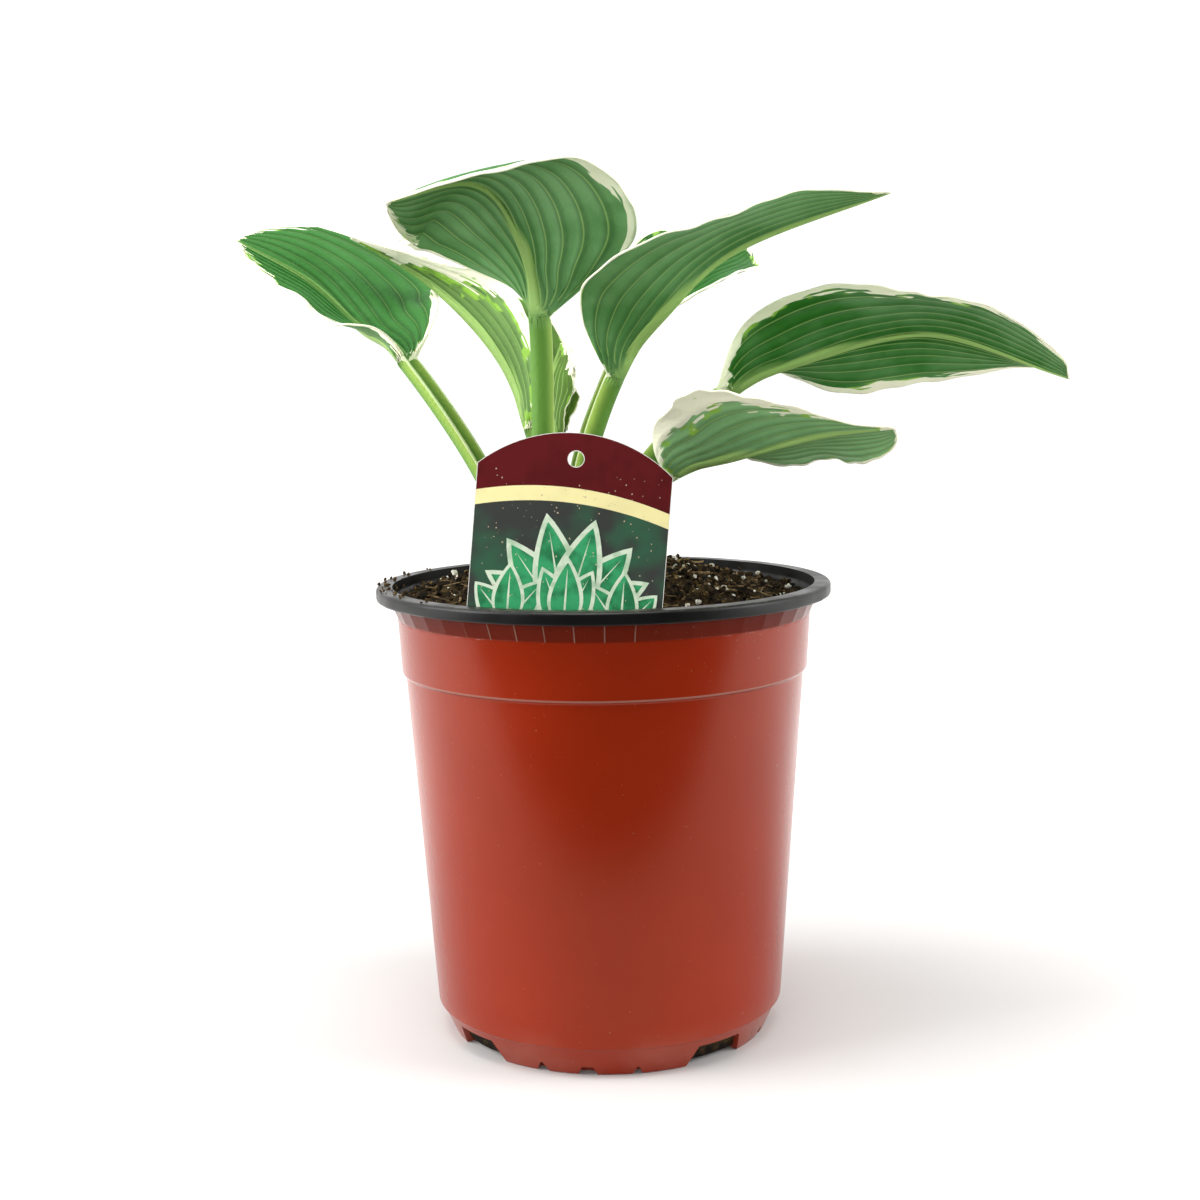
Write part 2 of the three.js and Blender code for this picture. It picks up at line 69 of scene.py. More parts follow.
# Foot ring: gaps and notches, cut as bars that point outward
FOOT_FIRST = -6.5
FOOT_GAP = {"deg": 45, "bottom": 12.2, "top": 9.4, "height": 8, "inner": 43}
FOOT_NOTCHES = (
    {"deg": -17.5, "bottom": 2.5, "top": 0.4, "height": 3.6, "inner": 54.2},
    {"deg": -1.5, "bottom": 3.5, "top": 2, "height": 3.2, "inner": 54.2},
    {"deg": 15.5, "bottom": 1.8, "top": 0.3, "height": 3, "inner": 54.2},
)
CUTTER_OUTER = 69.1
BAR_DROP = 2
HOLE_SIDES = 40
DRAIN = {"from_axis": 30, "level": 6, "radius": 5, "depth": 12}

# Pot's wall: the step round it, the foot of the faceted band and where the painted shade on the band sets in
STEP_LEVEL = 134.1
BAND_FOOT = 153.7
BAND_RADIUS = 75
BAND_FADE = (0.1535, 0.1545)
INSIDE_RADIUS = 73.6
INSIDE_LEVEL = 153.6

# Soil: its outline against the wall as radius and height, the radii of its surface's outermost and
# innermost ring, the height of that surface before it is shaped, and its gap to the wall
SOIL_WALL = [(46.9, 7.7), (49.3, 1.7), (56.6, 1.7), (61.4, 11.7), (70.9, 133.8), (72.2, 134.8), (72.9, 147)]
SOIL_EDGE = 73.4
SOIL_MIDDLE = 0.4
SOIL_FLAT = 152
WALL_GAP = 0.4
RIM_CRUMBS = 70

# Tag: its place and lean, and its outline in its own plane
TAG_PLACE = (-13.2, -60, 162.5)
TAG_LEAN = 5
TAG_TILT = 5.4
TAG_HALF = 32.5
TAG_SHOULDER = -6
TAG_CORNER = 3
TAG_ARCH_RADIUS = 49
TAG_ARCH_CENTRE = 10.3
TAG_HOLE = (50.6, 2.6)
TAG_FRONT = 0.4
TAG_BAND = (36, 41)
TAG_BAND_BEND = 0.0044
TAG_BAND_SLOPE = 0.052
PRINT_STEP = 0.012
TAG_SPECKS = 150
TAG_SEED = 11
# Printed fan: foot of each leaf, its lean in degrees, its length and its width
TAG_FAN = (
    ((0, -3), -62, 31, 14), ((0, -3), 62, 31, 14), ((0, -4), -38, 34, 16), ((0, -4), 38, 34, 16),
    ((0, -4), -13, 37, 16), ((0, -4), 13, 36, 16), ((-19, -5), -42, 17, 11), ((19, -5), 42, 17, 11),
    ((-19, -5), 38, 19, 11), ((19, -5), -38, 19, 11), ((-19, -5), 0, 20, 11), ((19, -5), 0, 20, 11),
    ((0, -5), -24, 21, 12), ((0, -5), 24, 21, 12), ((0, -5), 0, 23, 12),
)

# Leaves, as in the model: path of the midrib from the foot in the soil to the tip, widths of the two
# halves, and roll, fold and curl in degrees at the base, middle and tip of the blade. Heading is the
# way the leaf points in degrees, and shape holds the place of its widest part and how round its base
# and how long its tip is. Margin is the width of the cream margin of each half at the base, middle and
# tip, lime is how far its half-shaded zone reaches in as a share of that width, and tint goes from
# deep green (0) over bright green (1) to the yellow-green of a young leaf (1.6).
LEAVES = {
    "leaf_left": {
        "heading": 150, "width": (18, 46), "shape": (0.8, 1, 0.55),
        "path": [(-32, 1, 152), (-40, -3, 197), (-72, 20, 245),
                 (-90, 31, 258), (-110, 38, 276), (-137, 40, 292)],
        "roll": (5, 35, 30), "fold": ((45, 35, 0), (35, -5, 0)), "curl": ((-15, 0, 0), (0, -25, -20)),
        "margin": ((3, 2, 5), (4, 2.2, 6)), "lime": 0.1, "tint": 0.42,
    },
    "leaf_left_back": {
        "heading": 170, "width": (21, 28), "shape": (0.6, 1, 1.45),
        "path": [(-24, 14, 152), (-21, 18, 193), (-26, 19, 220),
                 (-38, 28, 247), (-64, 40, 274), (-93, 38, 292)],
        "roll": (0, -20, -15), "fold": ((50, 60, 50), (60, 60, 50)), "curl": ((-10, 0, 5), (0, 0, 0)),
        "margin": ((5, 6, 1.5), (1, 1, 1)), "lime": 0.5, "tint": 1.4,
    },
    "leaf_front": {
        "heading": 225, "width": (52, 46), "shape": (0.85, 1.2, 0.7),
        "path": [(-23.5, -9.5, 152), (-22, -11, 196), (-22, -3, 260),
                 (-29, -12, 291), (-43, -25, 305), (-70, -43, 298)],
        "roll": (-15, -10, -30), "fold": ((20, 0, -10), (20, 0, -10)), "curl": ((0, -10, -25), (0, -15, -25)),
        "margin": ((1, 5, 4.5), (0.8, 1.6, 3.5)), "lime": 0.15, "tint": 0.5,
    },
    "leaf_right": {
        "heading": -15, "width": (36, 43), "shape": (0.8, 1.15, 1.15),
        "path": [(-10, -12, 152), (-8, -16, 196), (6, -22, 239),
                 (23, -34, 261), (47, -40, 281), (96, -51, 298)],
        "roll": (0, 0, 5), "fold": ((60, 20, 20), (60, 20, 20)), "curl": ((0, -20, -5), (5, -20, 0)),
        "margin": ((2, 3, 0.8), (1, 1.2, 0.8)), "lime": 0.5, "tint": 0.42,
    },
    "leaf_right_back": {
        "heading": 35, "width": (22, 32), "shape": (0.85, 1.1, 0.6),
        "path": [(-12.5, 16.5, 152), (-7, 18, 204), (7, 31, 242),
                 (17, 39, 261), (38, 57, 278), (60, 80, 288)],
        "roll": (0, -35, -35), "fold": ((50, 40, 0), (25, 25, 0)), "curl": ((0, 5, 0), (-10, 25, 25)),
        "margin": ((2, 2, 3), (3, 3.5, 4)), "lime": 0.5, "tint": 0.15,
    },
    "leaf_far_right": {
        "heading": -10, "width": (26, 41), "shape": (0.85, 1.1, 0.35),
        "path": [(0, 8, 152), (14, 5, 201), (45, 2, 231),
                 (72, -1, 243), (117, -1, 252), (164, -19, 236)],
        "roll": (30, 30, 15), "fold": ((35, -5, 20), (35, 0, 10)), "curl": ((5, -25, 5), (5, -20, -5)),
        "margin": ((1, 2.6, 1.6), (4, 5.5, 2.2)), "lime": 0.25, "tint": 0.12,
    },
    "leaf_low_right": {
        "heading": -25, "width": (32, 42), "shape": (0.75, 0.9, 0.5),
        "path": [(-0.5, -5, 152), (6, -11, 188), (25, -31, 206),
                 (46, -44, 212), (72, -60, 219), (94, -73, 222)],
        "roll": (-10, 20, 20), "fold": ((10, 15, 0), (40, 15, 0)), "curl": ((-30, -20, -30), (5, -10, -25)),
        "margin": ((2, 0.8, 0.8), (6, 14, 12)), "lime": 0.35, "tint": 0.95,
    },
    "leaf_young": {
        "heading": 190, "width": (9, 9), "shape": (1, 0.9, 0.5), "stalk": 3,
        "path": [(-16, 3, 152), (-17, 5, 194), (-17, 3, 214),
                 (-18, 6, 226), (-18, 9, 238), (-14, 18, 251)],
        "roll": (5, 15, 5), "fold": ((20, 40, 50), (50, 50, 50)), "curl": ((30, 45, 50), (50, 50, 50)),
        "margin": ((0.4, 0.8, 3.5), (0.4, 0.6, 1.5)), "lime": 0.8, "tint": 1.5,
    },
}
# Half widths of a stalk at its foot and top and of a leaf's tip, and the waves of a margin
STALK_FOOT = 3.4
STALK_TOP = 3.8
TIP_HALF = 0.7
MARGIN_WAVE = 1.2
WAVES = 2.5
RIPPLES = 9
STALK_MARGIN = 0.3

# Values that a leaf's points carry for its colours
LEAF_VALUES = ("vein", "rim", "midrib", "stalk", "run", "tint", "lime")

# Lights, all aimed at one height on the pot's axis: place and size in metres
LIGHT_TARGET = 170
LIGHTS = {
    "key": ((-1.3, -0.25, 0.75), (0.9, 1.2)),
    "fill": ((1.3, -0.2, 0.7), (0.7, 1.2)),
    "top": ((-0.1, -0.35, 1.6), (1.0, 0.8)),
    "front": ((-0.1, -1.1, 0.4), (1.0, 0.6)),
}


def linear(hex_colour):
    """Linear colour of an sRGB hex value."""
    parts = [int(hex_colour[i:i + 2], 16) / 255 for i in (1, 3, 5)]
    return tuple(c / 12.92 if c <= 0.04045 else ((c + 0.055) / 1.055) ** 2.4 for c in parts)


def colour(name, hex_colour):
    """Property for a colour, given as it shows on a screen."""
    return FloatVectorProperty(name=name, description=f"{name} of the real piece", subtype="COLOR",
                               size=3, min=0, max=1, default=linear(hex_colour))


def length(name, description, default):
    """Property for a length, given in millimetres."""
    return FloatProperty(name=name, description=description, unit="LENGTH", precision=4,
                         default=default * MM)


def amount(name, description, default):
    """Property for a plain number."""
    return FloatProperty(name=name, description=description, default=default)


def count(name, description, default, least=0):
    """Property for a whole number."""
    return IntProperty(name=name, description=description, default=default, min=least)


class HostaPotSettings(bpy.types.PropertyGroup):
    height: length("Height", "Height of the pot over the floor", 165)
    wall: length("Wall", "Thickness of the pot's wall", 1.4)
    lip_height: length("Lip height", "Height of the rolled rim", 4.5)
    lip_width: length("Lip width", "Width of the rolled rim seen from above", 5.8)
    sides: count("Sides", "Segments round the pot", 192, 48)
    facets: count("Facets", "Flat facets round the band under the rim", 48)
    red: colour("Outside colour", "#8b2307")
    black: colour("Inside and rim colour", "#0b0b0b")
    # The dust colour is also the colour of the painted highlights on the red and of the painted sheen on the
    # black
    dust: colour("Dust colour", "#a39a8c")


class HostaSoilSettings(bpy.types.PropertyGroup):
    front: length("Front level", "Height of the soil behind the tag", 152)
    back_rise: length("Back rise", "How much higher the soil lies at the back", 8)
    mound: length("Mound", "Height of the mound round the crown", 10.5)
    lumps: length("Lumps", "Height of the lumps of the surface", 3)
    sides: count("Sides", "Segments round the soil", 264, 36)
    rings: count("Rings", "Rings of the soil's surface", 80, 6)
    grains: count("Perlite grains", "Number of white grains", 280)
    crumbs: count("Crumbs", "Number of dark crumbs", 1900)
    fibres: count("Fibres", "Number of bark fibres", 700)
    seed: count("Seed", "Seed of the grains' places", 7)
    dark: colour("Peat colour", "#130d07")
    light: colour("Dry peat colour", "#6c5634")
    perlite: colour("Perlite colour", "#f0ecdf")
    bark: colour("Bark colour", "#8f7850")


class HostaTagSettings(bpy.types.PropertyGroup):
    border: length("Border", "White edge left round the print", 0.2)
    core: colour("Card colour", "#ecebe4")
    header: colour("Header colour", "#5e1317")
    band: colour("Band colour", "#fdf2b0")
    ground: colour("Ground colour", "#3b3d3a")
    leaf: colour("Printed leaf colour", "#3aa268")
    leaf_edge: colour("Printed leaf edge colour", "#d9e8cf")


class HostaLeafSettings(bpy.types.PropertyGroup):
    thickness: length("Thickness", "Thickness of a blade", 0.5)
    midrib: length("Midrib", "Depth of the midrib below the blade", 1.8)
    rib_height: length("Rib height", "Height of the swelling between two veins", 1.4)
    veins: count("Veins", "Veins in each half of a blade", 7)
    vein_steps: count("Steps", "Columns of faces between two veins", 6)
    stalk_rows: count("Stalk rows", "Rows of faces down the stalk", 46)
    blade_rows: count("Blade rows", "Rows of faces along the blade", 120)
    cream: colour("Margin colour", "#fbfbe0")
    lime: colour("Half-shaded colour", "#8fbf4a")
    fresh: colour("Young leaf colour", "#638230")
    upper_deep: colour("Upper side, deep green", "#205f16")
    upper_bright: colour("Upper side, bright green", "#4c8846")
    under_deep: colour("Under side, deep green", "#2f7324")
    under_bright: colour("Under side, bright green", "#90c285")
    vein: colour("Vein colour", "#a3c872")
    stalk: colour("Stalk colour", "#97b552")
    stalk_middle: colour("Stalk colour along its middle", "#628f3c")


class HostaStageSettings(bpy.types.PropertyGroup):
    lens: amount("Lens", "Focal length in millimetres", 54)
    sensor: amount("Sensor", "Sensor width in millimetres", 36)
    floor_size: length("Floor", "Side of the floor", 4000)
    floor_front: length("Floor front", "Reach of the lit floor in front of the pot", 160)
    floor: colour("Floor colour", "#cfcecc")
    # Strength of the painted glow of the paper away from the pot
    floor_glow: amount("Floor glow", "Light passed by the far paper", 0.9)
    surround: colour("Surround colour", "#ffffff")
    wall: amount("Wall", "Brightness of the wall behind the object", 1.15)
    room: amount("Room", "Brightness of the room behind the camera", 0.06)
    key: amount("Key light", "Power of the key light in watts", 25)
    fill: amount("Fill light", "Power of the fill light in watts", 16)
    top: amount("Top light", "Power of the top light in watts", 14)
    front: amount("Front light", "Power of the front light in watts", 6)


def place(x, y, z):
    """Point in the row frame from millimetres round the pot's axis."""
    return Vector((AXIS[0] + x * MM, AXIS[1] + y * MM, z * MM))


def start_object(name):
    """The object that a primitive operator has just made, renamed."""
    piece = bpy.context.object
    piece.name = name
    piece.data.name = name
    return piece


def deselect():
    """Leaves nothing selected, so that an operator acts on new pieces only."""
    bpy.ops.object.select_all(action="DESELECT")


def only(piece):
    """Makes a piece the one that operators act on."""
    deselect()
    piece.select_set(True)
    bpy.context.view_layer.objects.active = piece


def settle(piece):
    """Moves a piece's place into its mesh."""
    only(piece)
    bpy.ops.object.transform_apply(location=True, rotation=True, scale=True)


def apply_modifier(piece, kind, **settings):
    """Adds a modifier with its settings and applies it."""
    only(piece)
    modifier = piece.modifiers.new(kind.title(), kind)
    for key, value in settings.items():
        setattr(modifier, key, value)
    bpy.ops.object.modifier_apply(modifier=modifier.name)


def smooth(piece, degrees=30):
    """Smooth shading, with edges sharper than an angle kept."""
    only(piece)
    bpy.ops.object.shade_smooth_by_angle(angle=math.radians(degrees))


def keep(piece, node=None):
    """Ties a finished piece to the model's body and hides the node it stands for."""
    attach(piece, "root")
    if node:
        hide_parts(node)
    return piece


def set_material(piece, *materials):
    """Gives a piece its materials in order."""
    piece.data.materials.clear()
    for material in materials:
        piece.data.materials.append(material)


def turned(name, profile, sides):
    """Solid of revolution: a circle is extruded from point to point of the profile and closed flat."""
    deselect()
    radius, level = profile[0]
    bpy.ops.mesh.primitive_circle_add(vertices=sides, radius=radius * MM, location=place(0, 0, level),
                                      rotation=(0, 0, -math.pi / 2), fill_type="NOTHING")
    piece = start_object(name)
    settle(piece)
    bpy.ops.object.mode_set(mode="EDIT")
    bpy.ops.mesh.select_all(action="SELECT")
    bpy.ops.mesh.edge_face_add()
    for (r0, z0), (r1, z1) in zip(profile, profile[1:]):
        bpy.ops.mesh.extrude_region_move(TRANSFORM_OT_translate={"value": (0, 0, (z1 - z0) * MM)})
        ratio = r1 / r0
        bpy.ops.transform.resize(value=(ratio, ratio, 1), center_override=place(0, 0, z1))
    bpy.ops.mesh.select_all(action="DESELECT")
    bpy.ops.mesh.select_non_manifold()
    bpy.ops.mesh.edge_face_add()
    close_solid()
    return piece


def close_solid():
    """Turns all faces outward and leaves edit mode."""
    bpy.ops.mesh.select_all(action="SELECT")
    bpy.ops.mesh.normals_make_consistent(inside=False)
    bpy.ops.object.mode_set(mode="OBJECT")


def round_corners(points, radius, steps=4):
    """Profile with each inner corner replaced by a small curve."""
    result = [points[0]]
    for before, corner, after in zip(points, points[1:], points[2:]):
        a, b, c = Vector(before), Vector(corner), Vector(after)
        reach = min(radius, (a - b).length * 0.45, (c - b).length * 0.45)
        start = b + (a - b).normalized() * reach
        end = b + (c - b).normalized() * reach
        for k in range(steps + 1):
            t = k / steps
            result.append(tuple(start * (1 - t) ** 2 + b * 2 * t * (1 - t) + end * t * t))
    result.append(points[-1])
    return result


def foot_bar(spec, degrees, grow):
    """Bar with a trapezoid section that cuts one gap or notch in the foot ring."""
    deselect()
    flare = BAR_DROP * (spec["bottom"] - spec["top"]) / spec["height"]
    bottom = 2 * (spec["bottom"] + flare + grow)
    # A notch is a pocket in the foot's wall, so its inner end grows too
    inner = spec["inner"] if spec is FOOT_GAP else spec["inner"] - grow
    height = spec["height"] + grow + BAR_DROP
    bpy.ops.mesh.primitive_cube_add(size=1)
    bar = start_object("foot_bar")
    bar.scale = (bottom * MM, (CUTTER_OUTER - inner) * MM, height * MM)
    bar.location = (0, -(CUTTER_OUTER + inner) / 2 * MM, (height / 2 - BAR_DROP) * MM)
    settle(bar)
    bpy.ops.object.mode_set(mode="EDIT")
    bpy.ops.mesh.select_all(action="DESELECT")
    bpy.ops.object.mode_set(mode="OBJECT")
    for face in bar.data.polygons:
        face.select = face.normal.z > 0.5
    bpy.ops.object.mode_set(mode="EDIT")
    taper = 2 * (spec["top"] + grow) / bottom
    bpy.ops.transform.resize(value=(taper, 1, 1), center_override=(0, 0, 0))
    bpy.ops.object.mode_set(mode="OBJECT")
    bar.rotation_euler = (0, 0, math.radians(degrees))
    bar.location = place(0, 0, 0)
    settle(bar)
    return bar


def foot_bars(grow):
    """All the bars of the foot ring as one object."""
    bars = []
    for quarter in range(4):
        foot = FOOT_FIRST + 90 * quarter
        bars.append(foot_bar(FOOT_GAP, foot + FOOT_GAP["deg"], grow))
        for notch in FOOT_NOTCHES:
            bars.append(foot_bar(notch, foot + notch["deg"], grow))
    deselect()
    for bar in bars:
        bar.select_set(True)
    bpy.context.view_layer.objects.active = bars[0]
    bpy.ops.object.join()
    return bars[0]


def cut(piece, tool):
    """Cuts a tool out of a piece and removes the tool."""
    apply_modifier(piece, "BOOLEAN", operation="DIFFERENCE", object=tool, solver="EXACT",
                   material_mode="TRANSFER")
    bpy.data.objects.remove(tool, do_unlink=True)


def add(tree, kind, inputs=None, **settings):
    """Adds a node with its settings; an input's value is a number, a colour or another node's output."""
    node = tree.nodes.new(kind)
    for key, value in settings.items():
        setattr(node, key, value)
    for key, value in (inputs or {}).items():
        if isinstance(value, bpy.types.NodeSocket):
            tree.links.new(value, node.inputs[key])
        else:
            node.inputs[key].default_value = value
    return node


def math_of(operation, a, b=0.0, c=0.0, clamp=False):
    """Output of a Math node, of which at least one of the first two values is an output."""
    tree = (a if isinstance(a, bpy.types.NodeSocket) else b).id_data
    return add(tree, "ShaderNodeMath", {0: a, 1: b, 2: c}, operation=operation, use_clamp=clamp).outputs[0]


def times(a, b):
    """Output of a product."""
    return math_of("MULTIPLY", a, b)


def ramp(value, low, high, to_low=0.0, to_high=1.0):
    """Output that goes from one value to another while the input goes from low to high."""
    inputs = {"Value": value, "From Min": low, "From Max": high, "To Min": to_low, "To Max": to_high}
    return add(value.id_data, "ShaderNodeMapRange", inputs, interpolation_type="SMOOTHSTEP").outputs[0]


def rgba(value):
    """Colour with full alpha."""
    return (*value[:3], 1.0)


def darker(value, share):
    """Colour scaled down to a share of its light."""
    return tuple(c * share for c in value)


def blend(factor, a, b):
    """Output of a mix of two colours or outputs."""
    a, b = (end if isinstance(end, bpy.types.NodeSocket) else rgba(end) for end in (a, b))
    return add(factor.id_data, "ShaderNodeMix", {0: factor, 6: a, 7: b}, data_type="RGBA").outputs[2]


def new_material(name, base, roughness, **inputs):
    """Material with a plain surface; returns it with its shader."""
    material = bpy.data.materials.new(name)
    material.use_nodes = True
    shader = material.node_tree.nodes["Principled BSDF"]
    shader.inputs["Base Color"].default_value = rgba(base)
    shader.inputs["Roughness"].default_value = roughness
    for key, value in inputs.items():
        shader.inputs[key.replace("_", " ")].default_value = value
    return material, shader


def feed(shader, key, value):
    """Drives an input of a shader with an output."""
    shader.id_data.links.new(value, shader.inputs[key])


def object_place(shader):
    """Output with the object's own coordinates in metres."""
    return add(shader.id_data, "ShaderNodeTexCoord").outputs["Object"]


def parts_of(vector):
    """Outputs with the x, y and z of a vector."""
    return add(vector.id_data, "ShaderNodeSeparateXYZ", {0: vector}).outputs


def grain(coordinates, per_metre, detail=3.0, roughness=0.55):
    """Noise in object space, with its scale from a real size."""
    inputs = {"Vector": coordinates, "Scale": per_metre, "Detail": detail, "Roughness": roughness}
    return add(coordinates.id_data, "ShaderNodeTexNoise", inputs).outputs[0]


def line_noise(value, detail):
    """Noise along one value."""
    inputs = {"W": value, "Scale": 1.0, "Detail": detail}
    return add(value.id_data, "ShaderNodeTexNoise", inputs, noise_dimensions="1D").outputs[0]


def bump(shader, height, distance, strength=1.0):
    """Fine relief of a given depth in metres."""
    inputs = {"Height": height, "Distance": distance, "Strength": strength}
    feed(shader, "Normal", add(shader.id_data, "ShaderNodeBump", inputs).outputs[0])


def moulded_red(settings):
    """Moulded polypropylene: even and glossy, with flow streaks and dried dust, painted shade on the band
    under the rim and painted highlights on the facet edges and at the step.
    """
    material, shader = new_material("moulded_red_polypropylene", settings.red, 0.25, IOR=1.49,
                                    Specular_Tint=(1, 0.8, 0.66, 1))
    at = object_place(shader)
    across, deep, height = parts_of(at)
    flow = grain(at, 14)
    cloud = grain(at, 28)
    tone = blend(ramp(flow, 0.35, 0.7), darker(settings.red, 0.9), settings.red)
    # Painted shade on the band under the rim: its colour darkened towards black
    tone = blend(ramp(height, *BAND_FADE, 0.0, 0.55), tone, (0, 0, 0))
    speck = ramp(grain(at, 900, 2), 0.72, 0.78, 0, 0.3)
    patchy = times(ramp(height, 0.0, 0.02, 0.16, 0.0), ramp(cloud, 0.3, 0.7))
    dust_and_sheen = math_of("MAXIMUM", speck, patchy)
    # Painted highlights: thin light lines on the edges between the facets under the rim, and a light line at
    # the step, mixed with the dust in the dust colour
    turn = math_of("ARCTAN2", math_of("SUBTRACT", deep, AXIS[1]), math_of("SUBTRACT", across, AXIS[0]))
    facet = times(turn, settings.facets / (2 * math.pi))
    edge = ramp(math_of("PINGPONG", facet, 0.5), 0.012, 0.03, 0.34, 0.0)
    edge = times(times(edge, ramp(height, *BAND_FADE)), ramp(flow, 0.48, 0.6))
    step = times(math_of("COMPARE", height, STEP_LEVEL * MM, 0.0004), 0.28)
    dust_and_sheen = math_of("MAXIMUM", dust_and_sheen, math_of("MAXIMUM", edge, step))
    feed(shader, "Base Color", blend(dust_and_sheen, tone, settings.dust))
    feed(shader, "Roughness", ramp(cloud, 0.3, 0.75, 0.2, 0.26))
    feed(shader, "Specular IOR Level", ramp(height, *BAND_FADE, 0.34, 0.08))
    bump(shader, grain(at, 350, 2), 0.00004)
    return material


def moulded_black(settings):
    """Black polypropylene of the inner layer and rim: dulled by fine dust, with dust and a painted sheen on
    its upward faces.
    """
    material, shader = new_material("moulded_black_polypropylene", settings.black, 0.36,
                                    Specular_IOR_Level=0.3)
    at = object_place(shader)
    normal = add(shader.id_data, "ShaderNodeNewGeometry").outputs["Normal"]
    # Lighter on upward faces: dust that settles there and a painted sheen, both in the dust colour
    facing_up = ramp(parts_of(normal)[2], 0.5, 1.0, 0.0, 0.14)
    speck = ramp(grain(at, 700, 3), 0.5, 0.72)
    dust_and_sheen = times(facing_up, math_of("ADD", speck, 0.25))
    feed(shader, "Base Color", blend(dust_and_sheen, settings.black, settings.dust))
    feed(shader, "Roughness", ramp(grain(at, 60), 0.3, 0.7, 0.28, 0.45))
    return material


def pot_profile(settings):
    """Outer and inner outline of the pot, radius and height: feet, wall, step, band and rolled rim."""
    wall = settings.wall / MM
    rim = RIM_RADIUS / MM
    top = settings.height / MM
    lip = top - settings.lip_height / MM
    mouth = rim - settings.lip_width / MM
    outer = [(46, 6), (48, 0), (58.2, 0), (63.1, 10.7), (64, 11.1), (72.6, 133.2), (73.9, 134), (75, 153.8),
             (77.9, lip), (78.1, top - wall), (rim - wall, top - wall), (rim - wall, lip), (rim - 0.3, lip),
             (rim, lip + 0.7), (rim, top - 0.8), (rim - 0.8, top), (mouth - 8, top)]
    inner = [(46.6, 6 + wall), (49, wall), (56.9, wall), (61.7, 11.4), (71.2, 133.6), (72.5, 134.6),
             (73.6, 153.6), (mouth - 0.1, lip + 0.6), (mouth, top + 1)]
    return outer, inner


def flatten_band(piece, facets, high):
    """Pulls the band under the rim into flat facets."""
    step = 2 * math.pi / facets
    for vertex in piece.data.vertices:
        x = vertex.co.x - AXIS[0]
        y = vertex.co.y - AXIS[1]
        if BAND_FOOT * MM < vertex.co.z < high * MM and math.hypot(x, y) > BAND_RADIUS * MM:
            turn = math.atan2(y, x) % step - step / 2
            pull = math.cos(step / 2) / math.cos(turn)
            vertex.co.x = AXIS[0] + x * pull
            vertex.co.y = AXIS[1] + y * pull


class HOSTA_OT_pot(bpy.types.Operator):
    """Nursery pot: outer and inner turned shapes, both cut by the bars that shape the feet"""
    bl_idname = "hosta.pot"
    bl_label = "Pot"

    def execute(self, context):
        settings = context.scene.hosta_pot
        black = moulded_black(settings)
        outer_line, inner_line = pot_profile(settings)
        outer = turned("pot_fine", round_corners(outer_line, 0.6), settings.sides)
        set_material(outer, moulded_red(settings))
        inner = turned("pot_inside", round_corners(inner_line, 1.2), settings.sides)
        set_material(inner, black)
        cut(outer, foot_bars(0))
        bars = foot_bars(settings.wall / MM)
        set_material(bars, black)
        cut(inner, bars)
        cut(outer, inner)
        for quarter in range(4):
            self.cut_drain(outer, math.radians(FOOT_FIRST + FOOT_GAP["deg"] + 90 * quarter))
        lip = (settings.height - settings.lip_height) / MM
        flatten_band(outer, settings.facets, lip + 0.2)
        smooth(outer, 28)
        self.finish_rim(outer, lip)
        keep(outer, "pot")
        return {"FINISHED"}

    def cut_drain(self, pot, angle):
        """Cuts a round hole through the pot's floor at an angle from the front."""
        deselect()
        out = DRAIN["from_axis"]
        where = place(out * math.sin(angle), -out * math.cos(angle), DRAIN["level"])
        bpy.ops.mesh.primitive_cylinder_add(vertices=HOLE_SIDES, radius=DRAIN["radius"] * MM,
                                            depth=DRAIN["depth"] * MM, location=where)
        drain = start_object("drain")
        settle(drain)
        cut(pot, drain)

    def finish_rim(self, pot, lip):
        """Gives the rolled rim its black finish and the facets under it flat shading."""
        for face in pot.data.polygons:
            level = face.center.z / MM
            radius = math.hypot(face.center.x - AXIS[0], face.center.y - AXIS[1]) / MM
            if level > lip - 0.3 and radius > 78:
                face.material_index = 1
            if BAND_FOOT + 0.7 < level < lip - 0.4 and face.material_index == 0:
                face.use_smooth = False


def ease(x):
    """Smooth step from 0 to 1, of a number or an array."""
    t = np.clip(x, 0, 1)
    return t * t * (3 - 2 * t)


def soil_level(settings, x, y):
    """Broad height of the soil in millimetres: low behind the tag, with a mound round the crown."""
    rise = ease((y + 58) / 40)
    mound = 1 - ease((math.hypot(x + 4, y - 12) - 25) / 46)
    return (settings.front + settings.back_rise * rise + settings.mound * mound) / MM


def soil_height(settings, x, y):
    """Height of the soil surface in millimetres, with its swells, lumps and hollows."""
    # Swells about 30 mm long, lumps of a few millimetres and the hollows between crumbs
    r = min(1.0, math.hypot(x, y) / 75)
    swell = math.sin(x * 0.19 + 1) * math.cos(y * 0.23) + 0.6 * math.sin(x * 0.47 - y * 0.41)
    lumps = noise.fractal(Vector((x, y, 3.0)) * 0.16, 0.9, 2.1, 5)
    cells = noise.voronoi(Vector((x, y, 0.0)) * 0.24)[0][0]
    relief = lumps * settings.lumps / MM * 0.9 - cells * settings.lumps / MM * 0.8 + 0.6
    return soil_level(settings, x, y) + 0.8 * swell * (1 - r ** 4) + relief


def wall_radius(level):
    """Radius of the pot's inside at a height in its flared upper part."""
    return INSIDE_RADIUS + (level - INSIDE_LEVEL) * (0.4 if level > INSIDE_LEVEL else 0.058)


